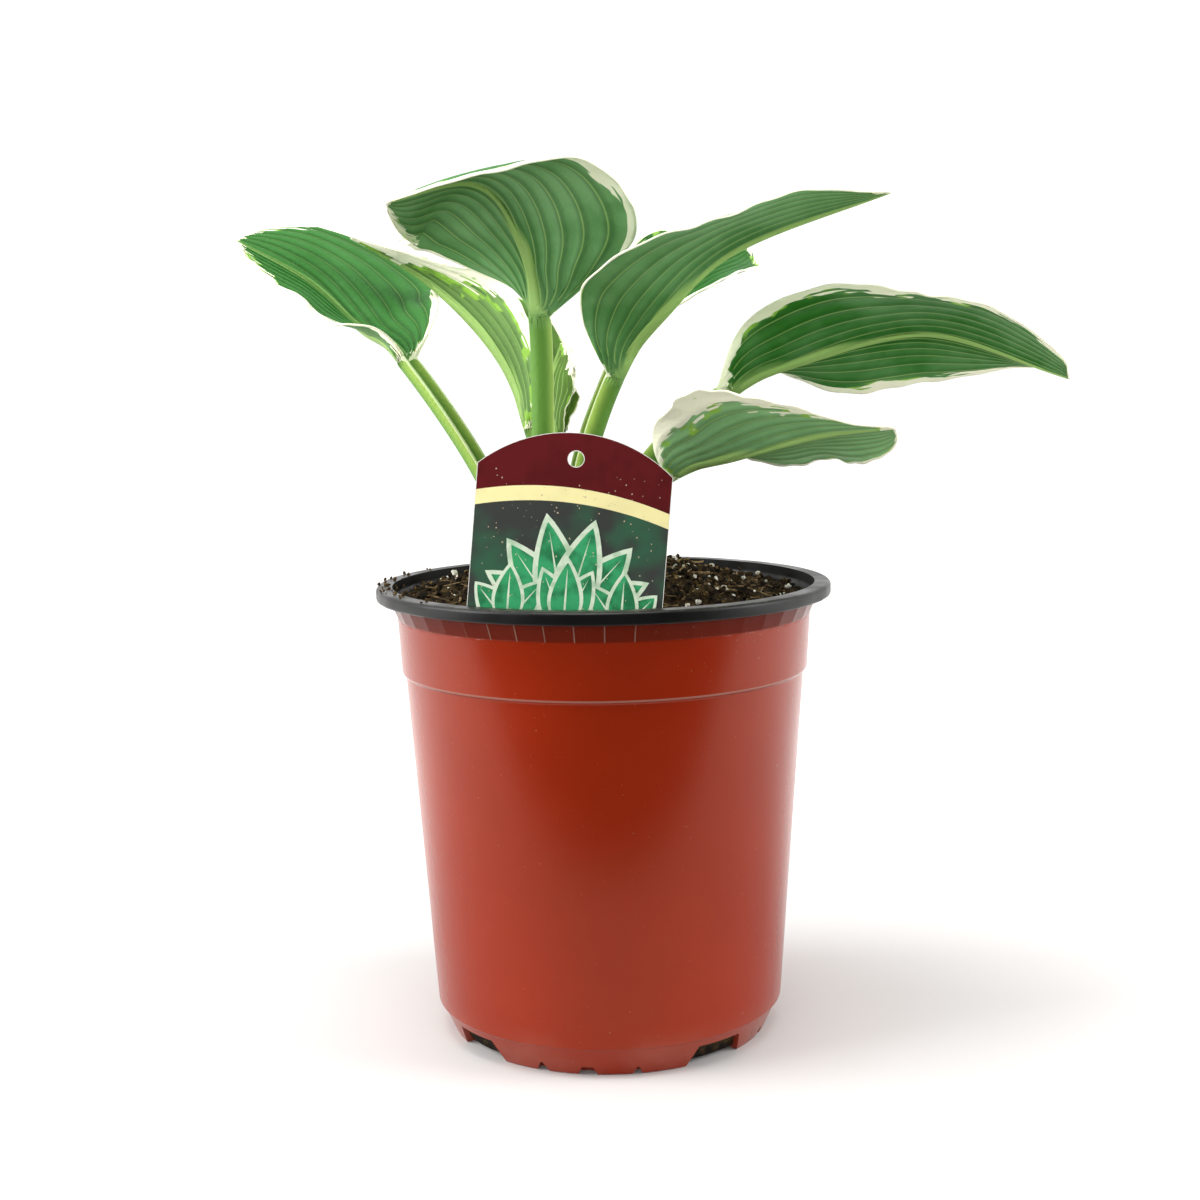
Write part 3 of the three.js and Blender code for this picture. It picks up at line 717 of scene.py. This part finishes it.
def peat(settings):
    """Moist peat mix: dark, matte and crumbly, lighter where it has dried."""
    material, shader = new_material("moist_peat_mix", settings.dark, 0.95, Specular_IOR_Level=0.15)
    at = object_place(shader)
    coarse = grain(at, 260, 5, 0.7)
    fine = grain(at, 1400, 4, 0.7)
    mixed = times(ramp(coarse, 0.4, 0.72), ramp(fine, 0.3, 0.7))
    feed(shader, "Base Color", blend(mixed, settings.dark, settings.light))
    bump(shader, fine, 0.0008)
    return material


def speckled(name, base, second, roughness, per_metre):
    """Loose mineral or bark matter with two tones."""
    material, shader = new_material(name, base, roughness, Specular_IOR_Level=0.2)
    at = object_place(shader)
    tone = ramp(grain(at, per_metre, 3), 0.35, 0.65)
    feed(shader, "Base Color", blend(tone, base, second))
    bump(shader, grain(at, 3000, 2), 0.0002)
    return material


def seed_shape(kind):
    """One grain or one fibre, a unit across or long."""
    deselect()
    if kind == "fibre":
        bpy.ops.mesh.primitive_cylinder_add(vertices=5, radius=0.5, depth=1)
        shape = start_object("fibre_seed")
        bpy.ops.object.mode_set(mode="EDIT")
        bpy.ops.mesh.subdivide(number_cuts=2)
        bpy.ops.object.mode_set(mode="OBJECT")
        for vertex in shape.data.vertices:
            vertex.co.x += 1.6 * vertex.co.z ** 2
    else:
        bpy.ops.mesh.primitive_ico_sphere_add(subdivisions=2 if kind == "perlite" else 1, radius=0.5)
        shape = start_object("grain_seed")
        for vertex in shape.data.vertices:
            vertex.co *= 0.8 + 0.4 * noise.noise(vertex.co * 3.1)
    return shape


def scattered(name, seed, placements):
    """One mesh with a copy of the seed shape at each matrix."""
    points = np.array([vertex.co for vertex in seed.data.vertices])
    faces = [tuple(face.vertices) for face in seed.data.polygons]
    all_points = []
    all_faces = []
    for k, matrix in enumerate(placements):
        values = np.array(matrix)
        all_points.append(points @ values[:3, :3].T + values[:3, 3])
        shift = k * len(points)
        all_faces.extend(tuple(v + shift for v in face) for face in faces)
    mesh = bpy.data.meshes.new(name)
    mesh.from_pydata(np.vstack(all_points).tolist(), [], all_faces)
    mesh.update()
    piece = bpy.data.objects.new(name, mesh)
    bpy.context.collection.objects.link(piece)
    bpy.data.objects.remove(seed, do_unlink=True)
    return piece


def sized(x, y, z):
    """Matrix that scales a seed shape to a size in millimetres."""
    return Matrix.Diagonal((x * MM, y * MM, z * MM, 1))


def spun(rng):
    """Random rotation round the upright axis."""
    return Matrix.Rotation(rng.uniform(0, 2 * math.pi), 4, "Z")


def random_turn(rng):
    """Random rotation."""
    return spun(rng) @ Matrix.Rotation(rng.uniform(-math.pi, math.pi), 4, "X") @ spun(rng)


def lying_turn(rng):
    """Rotation that lays a fibre down, a few degrees off level."""
    return spun(rng) @ Matrix.Rotation(math.radians(rng.uniform(72, 105)), 4, "X")


class HOSTA_OT_soil(bpy.types.Operator):
    """Soil with its lumpy surface, perlite grains, crumbs and bark fibres"""
    bl_idname = "hosta.soil"
    bl_label = "Soil"

    def execute(self, context):
        settings = context.scene.hosta_soil
        reach = SOIL_EDGE - SOIL_MIDDLE
        rings = [(reach * (1 - k / settings.rings) + SOIL_MIDDLE, SOIL_FLAT)
                 for k in range(settings.rings + 1)]
        soil = turned("soil_fine", SOIL_WALL + rings, settings.sides)
        for vertex in soil.data.vertices:
            if vertex.co.z > (SOIL_FLAT - 0.5) * MM:
                self.raise_surface(vertex, settings)
        only(soil)
        bpy.ops.object.shade_smooth()
        earth = peat(settings)
        set_material(soil, earth)
        keep(soil, "soil")
        self.add_grains(settings, earth)
        return {"FINISHED"}

    def raise_surface(self, vertex, settings):
        """Spreads a point of the flat surface out to the flared wall and lifts it to the soil's height."""
        x = (vertex.co.x - AXIS[0]) / MM
        y = (vertex.co.y - AXIS[1]) / MM
        spread = wall_radius(soil_level(settings, x * 1.02, y * 1.02)) / SOIL_EDGE
        spread = 1 + (spread - 1) * (math.hypot(x, y) / SOIL_EDGE) ** 4
        x, y = x * spread, y * spread
        level = soil_height(settings, x, y)
        inside = min(1, (wall_radius(level) - WALL_GAP) / max(1, math.hypot(x, y)))
        vertex.co = place(x * inside, y * inside, level)

    def add_grains(self, settings, earth):
        """Scatters the loose grains, crumbs and fibres over the soil and a few crumbs on the rim."""
        rng = random.Random(settings.seed)
        perlite = speckled("expanded_perlite", settings.perlite, (0.55, 0.52, 0.44), 0.9, 500)
        bark = speckled("composted_bark", settings.bark, (0.06, 0.035, 0.018), 0.85, 300)
        dry = speckled("dry_peat_crumb", linear("#6a5434"), linear("#2c2013"), 0.95, 700)

        def spot(size, reach=71.5):
            radius = reach * math.sqrt(rng.random())
            angle = rng.uniform(0, 2 * math.pi)
            x, y = radius * math.cos(angle), radius * math.sin(angle)
            return Matrix.Translation(place(x, y, soil_height(settings, x, y) + size * 0.22))

        def grain_at(low, high):
            size = rng.uniform(low, high)
            shape = sized(size, size * rng.uniform(0.7, 1), size * 0.75)
            return spot(size) @ random_turn(rng) @ shape

        def strand():
            long = rng.uniform(3, 11)
            thick = rng.uniform(0.25, 0.9)
            return spot(thick, 68) @ lying_turn(rng) @ sized(thick, thick, long)

        def rim_crumb():
            angle = math.radians(rng.gauss(182, 17))
            radius = rng.uniform(73, 82)
            size = rng.uniform(0.7, 2.4)
            # On the rim, or on the slope inside it
            base = 165 if radius > 77 else 158 + (radius - 73) * 1.7
            where = place(radius * math.cos(angle), radius * math.sin(angle), base + size * 0.2)
            return Matrix.Translation(where) @ random_turn(rng) @ sized(size, size * 0.8, size * 0.6)

        def rim_crumbs():
            return [rim_crumb() for _ in range(RIM_CRUMBS)]

        def grains(number, low, high):
            return [grain_at(low, high) for _ in range(number)]

        pieces = (
            ("perlite_grains", "perlite", grains(settings.grains, 0.9, 3.4), perlite),
            ("soil_crumbs", "crumb", grains(settings.crumbs, 0.8, 3.4), earth),
            ("dry_crumbs", "crumb", grains(settings.crumbs // 2, 0.7, 2.6) + rim_crumbs(), dry),
            ("bark_fibres", "fibre", [strand() for _ in range(settings.fibres)], bark),
        )
        for name, kind, placements, material in pieces:
            piece = scattered(name, seed_shape(kind), placements)
            set_material(piece, material)
            smooth(piece, 50)
            keep(piece)


def tag_frame():
    """Matrix from the tag's plane, in millimetres with its front at zero, to the row frame."""
    lean = math.radians(TAG_LEAN)
    tilt = math.radians(TAG_TILT)
    right = Vector((1, 0, 0))
    up = Vector((0, math.sin(lean), math.cos(lean)))
    u = right * math.cos(tilt) - up * math.sin(tilt)
    v = up * math.cos(tilt) + right * math.sin(tilt)
    w = u.cross(v)
    turn = Matrix((u, v, w)).transposed().to_4x4()
    lift = Matrix.Translation((0, 0, TAG_FRONT))
    return Matrix.Translation(place(*TAG_PLACE)) @ turn @ Matrix.Scale(MM, 4) @ lift


def across_tag(half, steps=24):
    """Even places across the tag from right to left."""
    return [half - 2 * half * k / steps for k in range(steps + 1)]


def arch(half, inset):
    """Points of the tag's arch from right to left, set in from its edge."""
    radius = TAG_ARCH_RADIUS - inset
    return [(u, TAG_ARCH_CENTRE + math.sqrt(radius ** 2 - u ** 2)) for u in across_tag(half)]


def band_line(half, middle):
    """Points of the printed band's edge from right to left: a flat curve that drops to the right."""
    return [(u, middle - TAG_BAND_BEND * u * u - TAG_BAND_SLOPE * u) for u in across_tag(half)]


def printed(name, outline, material, layer):
    """Thin flat print on the front of the tag: a disc pulled to an outline and given a thickness."""
    deselect()
    bpy.ops.mesh.primitive_circle_add(vertices=len(outline), radius=1, fill_type="NGON")
    piece = start_object(name)
    for vertex, (u, v) in zip(piece.data.vertices, outline):
        vertex.co = (u, v, layer * PRINT_STEP)
    bpy.ops.object.mode_set(mode="EDIT")
    bpy.ops.mesh.select_all(action="SELECT")
    bpy.ops.mesh.extrude_region_move(TRANSFORM_OT_translate={"value": (0, 0, PRINT_STEP)})
    close_solid()
    piece.matrix_world = tag_frame()
    settle(piece)
    set_material(piece, material)
    return piece


def motif(degrees, length_mm, width_mm, foot, steps=14):
    """Outline of a pointed printed leaf that leans by an angle from upright."""
    lean = math.radians(degrees)
    sides = []
    for side in (1, -1):
        line = []
        for k in range(steps + 1):
            t = k / steps
            half = width_mm / 2 * math.sin(math.pi * t ** 0.72) ** 0.85 if 0 < t < 1 else 0
            line.append((side * half, length_mm * t))
        sides.append(line)
    points = sides[0] + sides[1][-2:0:-1]
    return [(foot[0] + x * math.cos(lean) + y * math.sin(lean),
             foot[1] - x * math.sin(lean) + y * math.cos(lean)) for x, y in points]


def print_ink(name, base, second, per_metre):
    """Offset print under a clear film: flat colour with a soft blur of a second tone."""
    material, shader = new_material(name, base, 0.42, IOR=1.5, Specular_IOR_Level=0.15)
    tone = ramp(grain(object_place(shader), per_metre, 2), 0.4, 0.68)
    feed(shader, "Base Color", blend(tone, base, second))
    return material


class HOSTA_OT_tag(bpy.types.Operator):
    """Printed plant tag: white card, plain header, plain band and a fan of printed leaves"""
    bl_idname = "hosta.tag"
    bl_label = "Tag"

    def execute(self, context):
        settings = context.scene.hosta_tag
        border = settings.border / MM
        half = TAG_HALF - border
        card = new_material("white_card_plastic", settings.core, 0.4, IOR=1.5)[0]
        set_material(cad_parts["tag"], card)
        header = print_ink("maroon_print", settings.header, darker(settings.header, 0.82), 120)
        band = print_ink("cream_print", settings.band, darker(settings.band, 0.93), 90)
        ground = print_ink("dark_garden_print", settings.ground, (0.035, 0.11, 0.06), 65)
        leaf = print_ink("green_leaf_print", settings.leaf, darker(settings.leaf, 0.45), 150)
        pale = print_ink("pale_edge_print", settings.leaf_edge, (0.45, 0.62, 0.42), 200)
        sheets = [
            self.header_sheet(half, border, header),
            printed("tag_band", band_line(half, TAG_BAND[1]) + band_line(half, TAG_BAND[0])[::-1], band, 0),
            self.ground_sheet(half, border, ground),
            *self.fan(leaf, pale),
        ]
        for sheet in sheets:
            keep(sheet)
        self.add_specks()
        return {"FINISHED"}

    def header_sheet(self, half, border, ink):
        """Header under the arch, with the tag's hole punched out."""
        sheet = printed("tag_header", arch(half, border) + band_line(half, TAG_BAND[1])[::-1], ink, 0)
        height, radius = TAG_HOLE
        deselect()
        bpy.ops.mesh.primitive_cylinder_add(vertices=HOLE_SIDES, radius=radius + 0.25, depth=2)
        punch = start_object("punch")
        punch.matrix_world = tag_frame() @ Matrix.Translation((0, height, 0))
        settle(punch)
        cut(sheet, punch)
        return sheet

    def ground_sheet(self, half, border, ink):
        """Dark panel under the band, with its two lower corners cut off."""
        low = TAG_SHOULDER + border
        inner = half - TAG_CORNER
        corners = [(-half, low + TAG_CORNER), (-inner, low), (inner, low), (half, low + TAG_CORNER)]
        return printed("tag_ground", band_line(half, TAG_BAND[0]) + corners, ink, 0)

    def fan(self, leaf, pale):
        """Printed leaves, each a pale edge, a green blade and a pale rib."""
        pieces = []
        for k, (foot, degrees, long, wide) in enumerate(TAG_FAN):
            outlines = (
                ("edge", motif(degrees, long, wide, foot), pale),
                ("blade", motif(degrees, long * 0.92, wide * 0.8, foot), leaf),
                ("rib", motif(degrees, long * 0.84, 0.7, foot), pale),
            )
            for step, (part, outline, ink) in enumerate(outlines):
                pieces.append(printed(f"tag_leaf_{part}_{k}", outline, ink, 1 + 3 * k + step))
        return pieces

    def add_specks(self):
        """Specks of dried soil on the front of the tag."""
        rng = random.Random(TAG_SEED)
        turn = tag_frame()
        placements = []
        for _ in range(TAG_SPECKS):
            size = rng.uniform(0.25, 0.85)
            u = rng.uniform(-29, 29)
            v = rng.uniform(-4, 46 if abs(u) > 12 else 42)
            shape = Matrix.Diagonal((size, size * rng.uniform(0.4, 1), 0.28, 1))
            lift = Matrix.Translation((u, v, 0.45 if v < 26 else 0.06))
            placements.append(turn @ lift @ Matrix.Rotation(rng.uniform(0, 6.28), 4, "Z") @ shape)
        specks = scattered("tag_soil_specks", seed_shape("crumb"), placements)
        set_material(specks, new_material("dried_soil_speck", linear("#c4b194"), 0.95)[0])
        keep(specks)


def along(values, s):
    """Value along the blade from its base, middle and tip values."""
    base, middle, tip = values
    first = base + (middle - base) * ease(s / 0.5)
    return np.where(s < 0.5, first, middle + (tip - middle) * ease((s - 0.5) / 0.5))


def path_curve(points, steps=60):
    """Smooth curve through a leaf's path: its points, the length at each and that at the blade's base."""
    p = np.array(points, float)
    p = np.vstack([2 * p[0] - p[1], p, 2 * p[-1] - p[-2]])
    parts = []
    for k in range(len(p) - 3):
        t = np.linspace(0, 1, steps, endpoint=k == len(p) - 4)[:, None]
        a, b, c, d = p[k:k + 4]
        cubic = 2 * b + (c - a) * t
        cubic = cubic + (2 * a - 5 * b + 4 * c - d) * t ** 2 + (3 * b - a - 3 * c + d) * t ** 3
        parts.append(cubic / 2)
    curve = np.vstack(parts)
    lengths = np.r_[0, np.cumsum(np.linalg.norm(np.diff(curve, axis=0), axis=1))]
    return curve, lengths, lengths[2 * steps]


def unit(vectors):
    """Vectors scaled to length one."""
    return vectors / np.linalg.norm(vectors, axis=1)[:, None]


def leaf_rows(leaf, settings):
    """Stations of a leaf with the midrib's points and the sideways and upward directions there."""
    curve, lengths, base = path_curve(leaf["path"])
    total = lengths[-1]
    stalk = np.linspace(0, base, settings.stalk_rows, endpoint=False)
    run = np.r_[stalk, base + (total - base) * np.linspace(0, 1, settings.blade_rows + 1) ** 1.05]

    def at(x):
        return np.stack([np.interp(x, lengths, curve[:, k]) for k in range(3)], 1)

    forward = unit(at(np.minimum(run + 1, total)) - at(np.maximum(run - 1, 0)))
    heading = math.radians(leaf["heading"])
    side = np.array([math.sin(heading), -math.cos(heading), 0])
    side = unit(side - forward * (forward @ side)[:, None])
    up = np.cross(side, forward)
    s = (run - base) / (total - base)
    roll = np.radians(np.where(s < 0, leaf["roll"][0] * ease(run / base), along(leaf["roll"], s)))[:, None]
    side, up = side * np.cos(roll) + up * np.sin(roll), up * np.cos(roll) - side * np.sin(roll)
    return {"run": run, "point": at(run), "side": side, "up": up, "s": s, "grown": run / base}


def half_width(leaf, hand, rows):
    """Half width of a leaf at each row, in millimetres."""
    peak, round_power, taper_power = leaf["shape"]
    stalk_top = leaf.get("stalk", STALK_TOP)
    stalk = STALK_FOOT + (stalk_top - STALK_FOOT) * ease(rows["grown"] / 0.35)
    station = np.clip(rows["s"], 0, 1)
    power = np.where(station < 0.5 ** (1 / peak), round_power, taper_power)
    outline = np.clip(np.sin(np.pi * station ** peak), 0, 1) ** power
    return np.hypot(stalk * (1 - station) ** 3, leaf["width"][hand] * outline) + TIP_HALF


def leaf_column(leaf, rows, hand, vein, settings):
    """One column of a leaf from foot to tip: its points and the values that its colours follow."""
    s = rows["s"]
    station = np.clip(s, 0, 1)
    out = vein ** (1 + 1.4 * (1 - station) ** 1.5 * ease(s / 0.2))
    blade = ease(s / 0.22)
    fold = np.radians(15 * (1 - blade) + along(leaf["fold"][hand], station) * blade)
    curl = np.radians(70 * (1 - blade) + along(leaf["curl"][hand], station) * blade)
    reach = half_width(leaf, hand, rows) * out
    angle = fold + curl * out / 2
    wave = np.sin(2 * np.pi * WAVES * station + 1.3 * hand) * np.sin(np.pi * station)
    ripple = 0.35 * np.sin(2 * np.pi * RIPPLES * station + 2 * hand) * np.sin(np.pi * station) * out ** 6
    rib = np.abs(np.sin(np.pi * vein * settings.veins)) ** 0.75
    fade = np.sqrt(np.clip(np.sin(np.pi * np.sqrt(station)), 0, 1)) * (1 - 0.5 * out)
    height = reach * np.sin(angle) + (MARGIN_WAVE * wave + ripple) * out * out
    height = height + settings.rib_height / MM * rib * fade
    sideways = (1 if hand else -1) * reach * np.cos(angle)
    points = rows["point"] + rows["side"] * sideways[:, None] + rows["up"] * height[:, None]
    stalk_depth = 0.8 + 1.9 * (1 - vein * vein)
    midrib = settings.midrib / MM * (1 - station) ** 1.5 * np.exp(-((reach / 2.2) ** 2))
    depth = stalk_depth + (settings.thickness / MM + midrib - stalk_depth) * ease(s / 0.15)
    margin = np.where(s < 0, STALK_MARGIN, along(leaf["margin"][hand], station))
    from_edge = half_width(leaf, hand, rows) - reach
    width_of_rib = 2.6 * (1 - station) + 0.7
    return {
        "points": points,
        "depth": depth,
        "vein": np.full_like(s, vein * settings.veins),
        "rim": 1 - from_edge / margin,
        "midrib": 1 - reach / width_of_rib,
        "stalk": 1 - ease(s / 0.12 + 0.5),
        "run": rows["run"],
        "tint": np.full_like(s, leaf["tint"]),
        "lime": np.full_like(s, leaf["lime"]),
    }


def leaf_sheet(name, leaf, settings):
    """Leaf as one sheet: a grid whose points follow the midrib, with the depth of its thickness in a vertex
    group.
    """
    rows = leaf_rows(leaf, settings)
    half = settings.veins * settings.vein_steps
    columns = []
    for j in range(-half, half + 1):
        columns.append(leaf_column(leaf, rows, int(j >= 0), abs(j) / half, settings))
    count = len(rows["run"])
    deselect()
    bpy.ops.mesh.primitive_grid_add(x_subdivisions=2 * half, y_subdivisions=count - 1, size=1)
    piece = start_object(name)
    mesh = piece.data
    points = np.stack([column["points"] for column in columns], 1).reshape(-1, 3)
    points = points * MM + np.array([AXIS[0], AXIS[1], 0])
    mesh.vertices.foreach_set("co", points.astype(np.float32).ravel())
    for key in LEAF_VALUES:
        values = np.stack([column[key] for column in columns], 1).ravel()
        attribute = mesh.attributes.new(key, "FLOAT", "POINT")
        attribute.data.foreach_set("value", values.astype(np.float32))
    depth = np.stack([column["depth"] for column in columns], 1).ravel()
    group = piece.vertex_groups.new(name="depth")
    deepest = float(depth.max())
    for index, value in enumerate(depth):
        group.add([index], float(value) / deepest, "REPLACE")
    mesh.update()
    return piece, deepest * MM


def ragged_rim(shader, vein, run, stalk, rim):
    """Distance from the cream margin's edge, torn into streaks about 0.6 mm wide along the veins."""
    streak = math_of("FLOOR", times(vein, 6.0))
    own = add(shader.id_data, "ShaderNodeTexWhiteNoise", {"W": streak}, noise_dimensions="1D")
    jag = line_noise(math_of("MULTIPLY_ADD", own.outputs["Value"], 30.0, times(run, 0.055)), 2.0)
    broad = line_noise(times(run, 0.05), 1.0)
    wander = times(math_of("SUBTRACT", jag, 0.5), 2.2)
    wander = math_of("MULTIPLY_ADD", math_of("SUBTRACT", broad, 0.5), 1.4, wander)
    return math_of("MULTIPLY_ADD", wander, math_of("SUBTRACT", 1.0, stalk), rim)


def leaf_skin(name, settings, deep, bright, vein_strength):
    """Living leaf: waxy and finely grained, with pale veins and a cream margin in ragged streaks."""
    material, shader = new_material(name, deep, 0.48, IOR=1.42, Specular_IOR_Level=0.15,
                                    Subsurface_Weight=0.06, Subsurface_Radius=(0.4, 0.9, 0.2),
                                    Subsurface_Scale=0.001)
    vein, rim, midrib, stalk, run, tint, lime_reach = (
        add(shader.id_data, "ShaderNodeAttribute", attribute_name=key).outputs["Fac"]
        for key in LEAF_VALUES)
    at = object_place(shader)
    ragged = ragged_rim(shader, vein, run, stalk, rim)
    cream = times(ramp(ragged, -0.05, 0.05), math_of("MULTIPLY_ADD", stalk, -0.6, 1.0))
    patches = ramp(grain(at, 70, 2), 0.46, 0.54)
    lime = times(ramp(math_of("ADD", ragged, lime_reach), -0.05, 0.05), patches)
    cloud = ramp(grain(at, 45, 3), 0.3, 0.7, -0.16, 0.16)
    green = blend(math_of("ADD", tint, cloud, clamp=True), deep, bright)
    green = blend(ramp(tint, 1.0, 1.6), green, settings.fresh)
    # Veins: a pale line, thin against the space between two veins, in a furrow of painted shade
    from_vein = math_of("PINGPONG", vein, 0.5)
    green = blend(ramp(from_vein, 0.03, 0.34, 0.42, 0.0), green, darker(deep, 0.35))
    line = ramp(from_vein, 0.015, 0.05, vein_strength, 0.0)
    rib = ramp(midrib, 0.0, 0.5, 0.0, min(1.0, vein_strength * 1.5))
    line = times(math_of("MAXIMUM", line, rib), math_of("SUBTRACT", 1.0, stalk))
    green = blend(line, green, settings.vein)
    # Stalks: bluish along the middle, yellow-green towards their edges
    across = ramp(vein, 0.3 * settings.veins, settings.veins)
    green = blend(stalk, green, blend(across, settings.stalk_middle, settings.stalk))
    green = blend(lime, green, settings.lime)
    feed(shader, "Base Color", blend(cream, green, settings.cream))
    cells = add(shader.id_data, "ShaderNodeTexVoronoi", {"Vector": at, "Scale": 700.0}, feature="SMOOTH_F1")
    bump(shader, math_of("MULTIPLY_ADD", grain(at, 260, 3), 1.5, cells.outputs[0]), 0.00025, 0.6)
    return material


class HOSTA_OT_leaves(bpy.types.Operator):
    """Leaves with their veins, ribs and cream margins"""
    bl_idname = "hosta.leaves"
    bl_label = "Leaves"

    def execute(self, context):
        settings = context.scene.hosta_leaf
        upper = leaf_skin("waxy_leaf_upper_side", settings, settings.upper_deep, settings.upper_bright, 0.22)
        under = leaf_skin("dull_leaf_under_side", settings, settings.under_deep, settings.under_bright, 0.6)
        for name, leaf in LEAVES.items():
            piece, deepest = leaf_sheet(f"{name}_fine", leaf, settings)
            set_material(piece, upper, under)
            apply_modifier(piece, "SOLIDIFY", thickness=deepest, offset=-1, vertex_group="depth",
                           material_offset=1, material_offset_rim=0, use_rim=True)
            only(piece)
            bpy.ops.object.shade_smooth()
            keep(piece, name)
        return {"FINISHED"}


def area_light(name, where, size, power):
    """Soft light that looks at the plant; returns it."""
    deselect()
    bpy.ops.object.light_add(type="AREA", location=where)
    light = bpy.context.object
    light.name = name
    light.data.shape = "RECTANGLE"
    light.data.size = size[0]
    light.data.size_y = size[1]
    light.data.energy = power
    aim = place(0, 0, LIGHT_TARGET) - Vector(where)
    light.rotation_euler = aim.to_track_quat("-Z", "Y").to_euler()
    return light


class HOSTA_OT_stage(bpy.types.Operator):
    """Pale floor, soft studio light and the camera"""
    bl_idname = "hosta.stage"
    bl_label = "Stage"

    def execute(self, context):
        settings = context.scene.hosta_stage
        deselect()
        bpy.ops.mesh.primitive_plane_add(size=settings.floor_size)
        floor = start_object("floor")
        settle(floor)
        set_material(floor, self.paper(settings))
        world = bpy.data.worlds.new("studio")
        world.use_nodes = True
        self.light_surround(world.node_tree, settings)
        context.scene.world = world
        context.scene.view_settings.view_transform = "Standard"
        for name, (where, size) in LIGHTS.items():
            light = area_light(f"{name}_light", where, size, getattr(settings, name))
            # The front light is polarised, so that it leaves no glare on the pot
            light.visible_glossy = name != "front"
        context.scene.camera = self.photo_camera(settings)
        return {"FINISHED"}

    def photo_camera(self, settings):
        """Camera with the place, lens and turn that the photo's shapes give."""
        deselect()
        bpy.ops.object.camera_add(location=place(*CAMERA_PLACE))
        camera = bpy.context.object
        camera.name = "camera"
        camera.data.lens = settings.lens
        camera.data.sensor_width = settings.sensor
        camera.data.clip_end = 50
        pitch = math.radians(CAMERA_PITCH)
        turn = math.radians(CAMERA_ROLL)
        level_right = Vector((1, 0, 0))
        level_up = Vector((0, math.sin(pitch), math.cos(pitch)))
        right = level_right * math.cos(turn) - level_up * math.sin(turn)
        up = level_right * math.sin(turn) + level_up * math.cos(turn)
        back = Vector((0, -math.cos(pitch), math.sin(pitch)))
        camera.rotation_euler = Matrix((right, up, back)).transposed().to_euler()
        return camera

    def paper(self, settings):
        """Matte paper with a painted glow where it is far from the pot, and dark where it nears the camera.
        """
        material, shader = new_material("matte_paper_sweep", settings.floor, 0.8, Specular_IOR_Level=0.2,
                                        Emission_Color=rgba(settings.floor))
        at = object_place(shader)
        depth = parts_of(at)[1]
        away = add(shader.id_data, "ShaderNodeVectorMath", {0: at}, operation="LENGTH").outputs["Value"]
        # Painted glow of the paper, stronger away from the pot and towards the back
        glow = times(ramp(away, 0.1, 0.45), ramp(depth, -0.3, 0.1, 0.6, 1.0))
        near = ramp(depth, -settings.floor_front - 0.06, -settings.floor_front, 0.06, 1.0)
        feed(shader, "Base Color", blend(near, (0, 0, 0), settings.floor))
        feed(shader, "Emission Strength", times(glow, times(near, settings.floor_glow)))
        return material

    def light_surround(self, tree, settings):
        """Bright wall behind the object and a dim room behind the camera."""
        depth = parts_of(add(tree, "ShaderNodeTexCoord").outputs["Generated"])[1]
        background = tree.nodes["Background"]
        background.inputs["Color"].default_value = rgba(settings.surround)
        feed(background, "Strength", ramp(depth, -0.5, 0.2, settings.room, settings.wall))


OPERATORS = (HOSTA_OT_pot, HOSTA_OT_soil, HOSTA_OT_tag, HOSTA_OT_leaves, HOSTA_OT_stage)
SETTINGS = {
    "hosta_pot": HostaPotSettings,
    "hosta_soil": HostaSoilSettings,
    "hosta_tag": HostaTagSettings,
    "hosta_leaf": HostaLeafSettings,
    "hosta_stage": HostaStageSettings,
}


class HOSTA_PT_panel(bpy.types.Panel):
    """Lists the operators that build the plant"""
    bl_idname = "HOSTA_PT_panel"
    bl_label = "Potted hosta"
    bl_space_type = "VIEW_3D"
    bl_region_type = "UI"
    bl_category = "Hosta"

    def draw(self, context):
        for operator in OPERATORS:
            self.layout.operator(operator.bl_idname)


def register():
    for kind in (*SETTINGS.values(), *OPERATORS, HOSTA_PT_panel):
        bpy.utils.register_class(kind)
    for key, kind in SETTINGS.items():
        setattr(bpy.types.Scene, key, PointerProperty(type=kind))


def unregister():
    for key in SETTINGS:
        delattr(bpy.types.Scene, key)
    for kind in (HOSTA_PT_panel, *OPERATORS, *SETTINGS.values()):
        bpy.utils.unregister_class(kind)


def main():
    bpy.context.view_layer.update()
    register()
    bpy.ops.hosta.pot()
    bpy.ops.hosta.soil()
    bpy.ops.hosta.tag()
    bpy.ops.hosta.leaves()
    bpy.ops.hosta.stage()


if __name__ == "__main__":
    main()
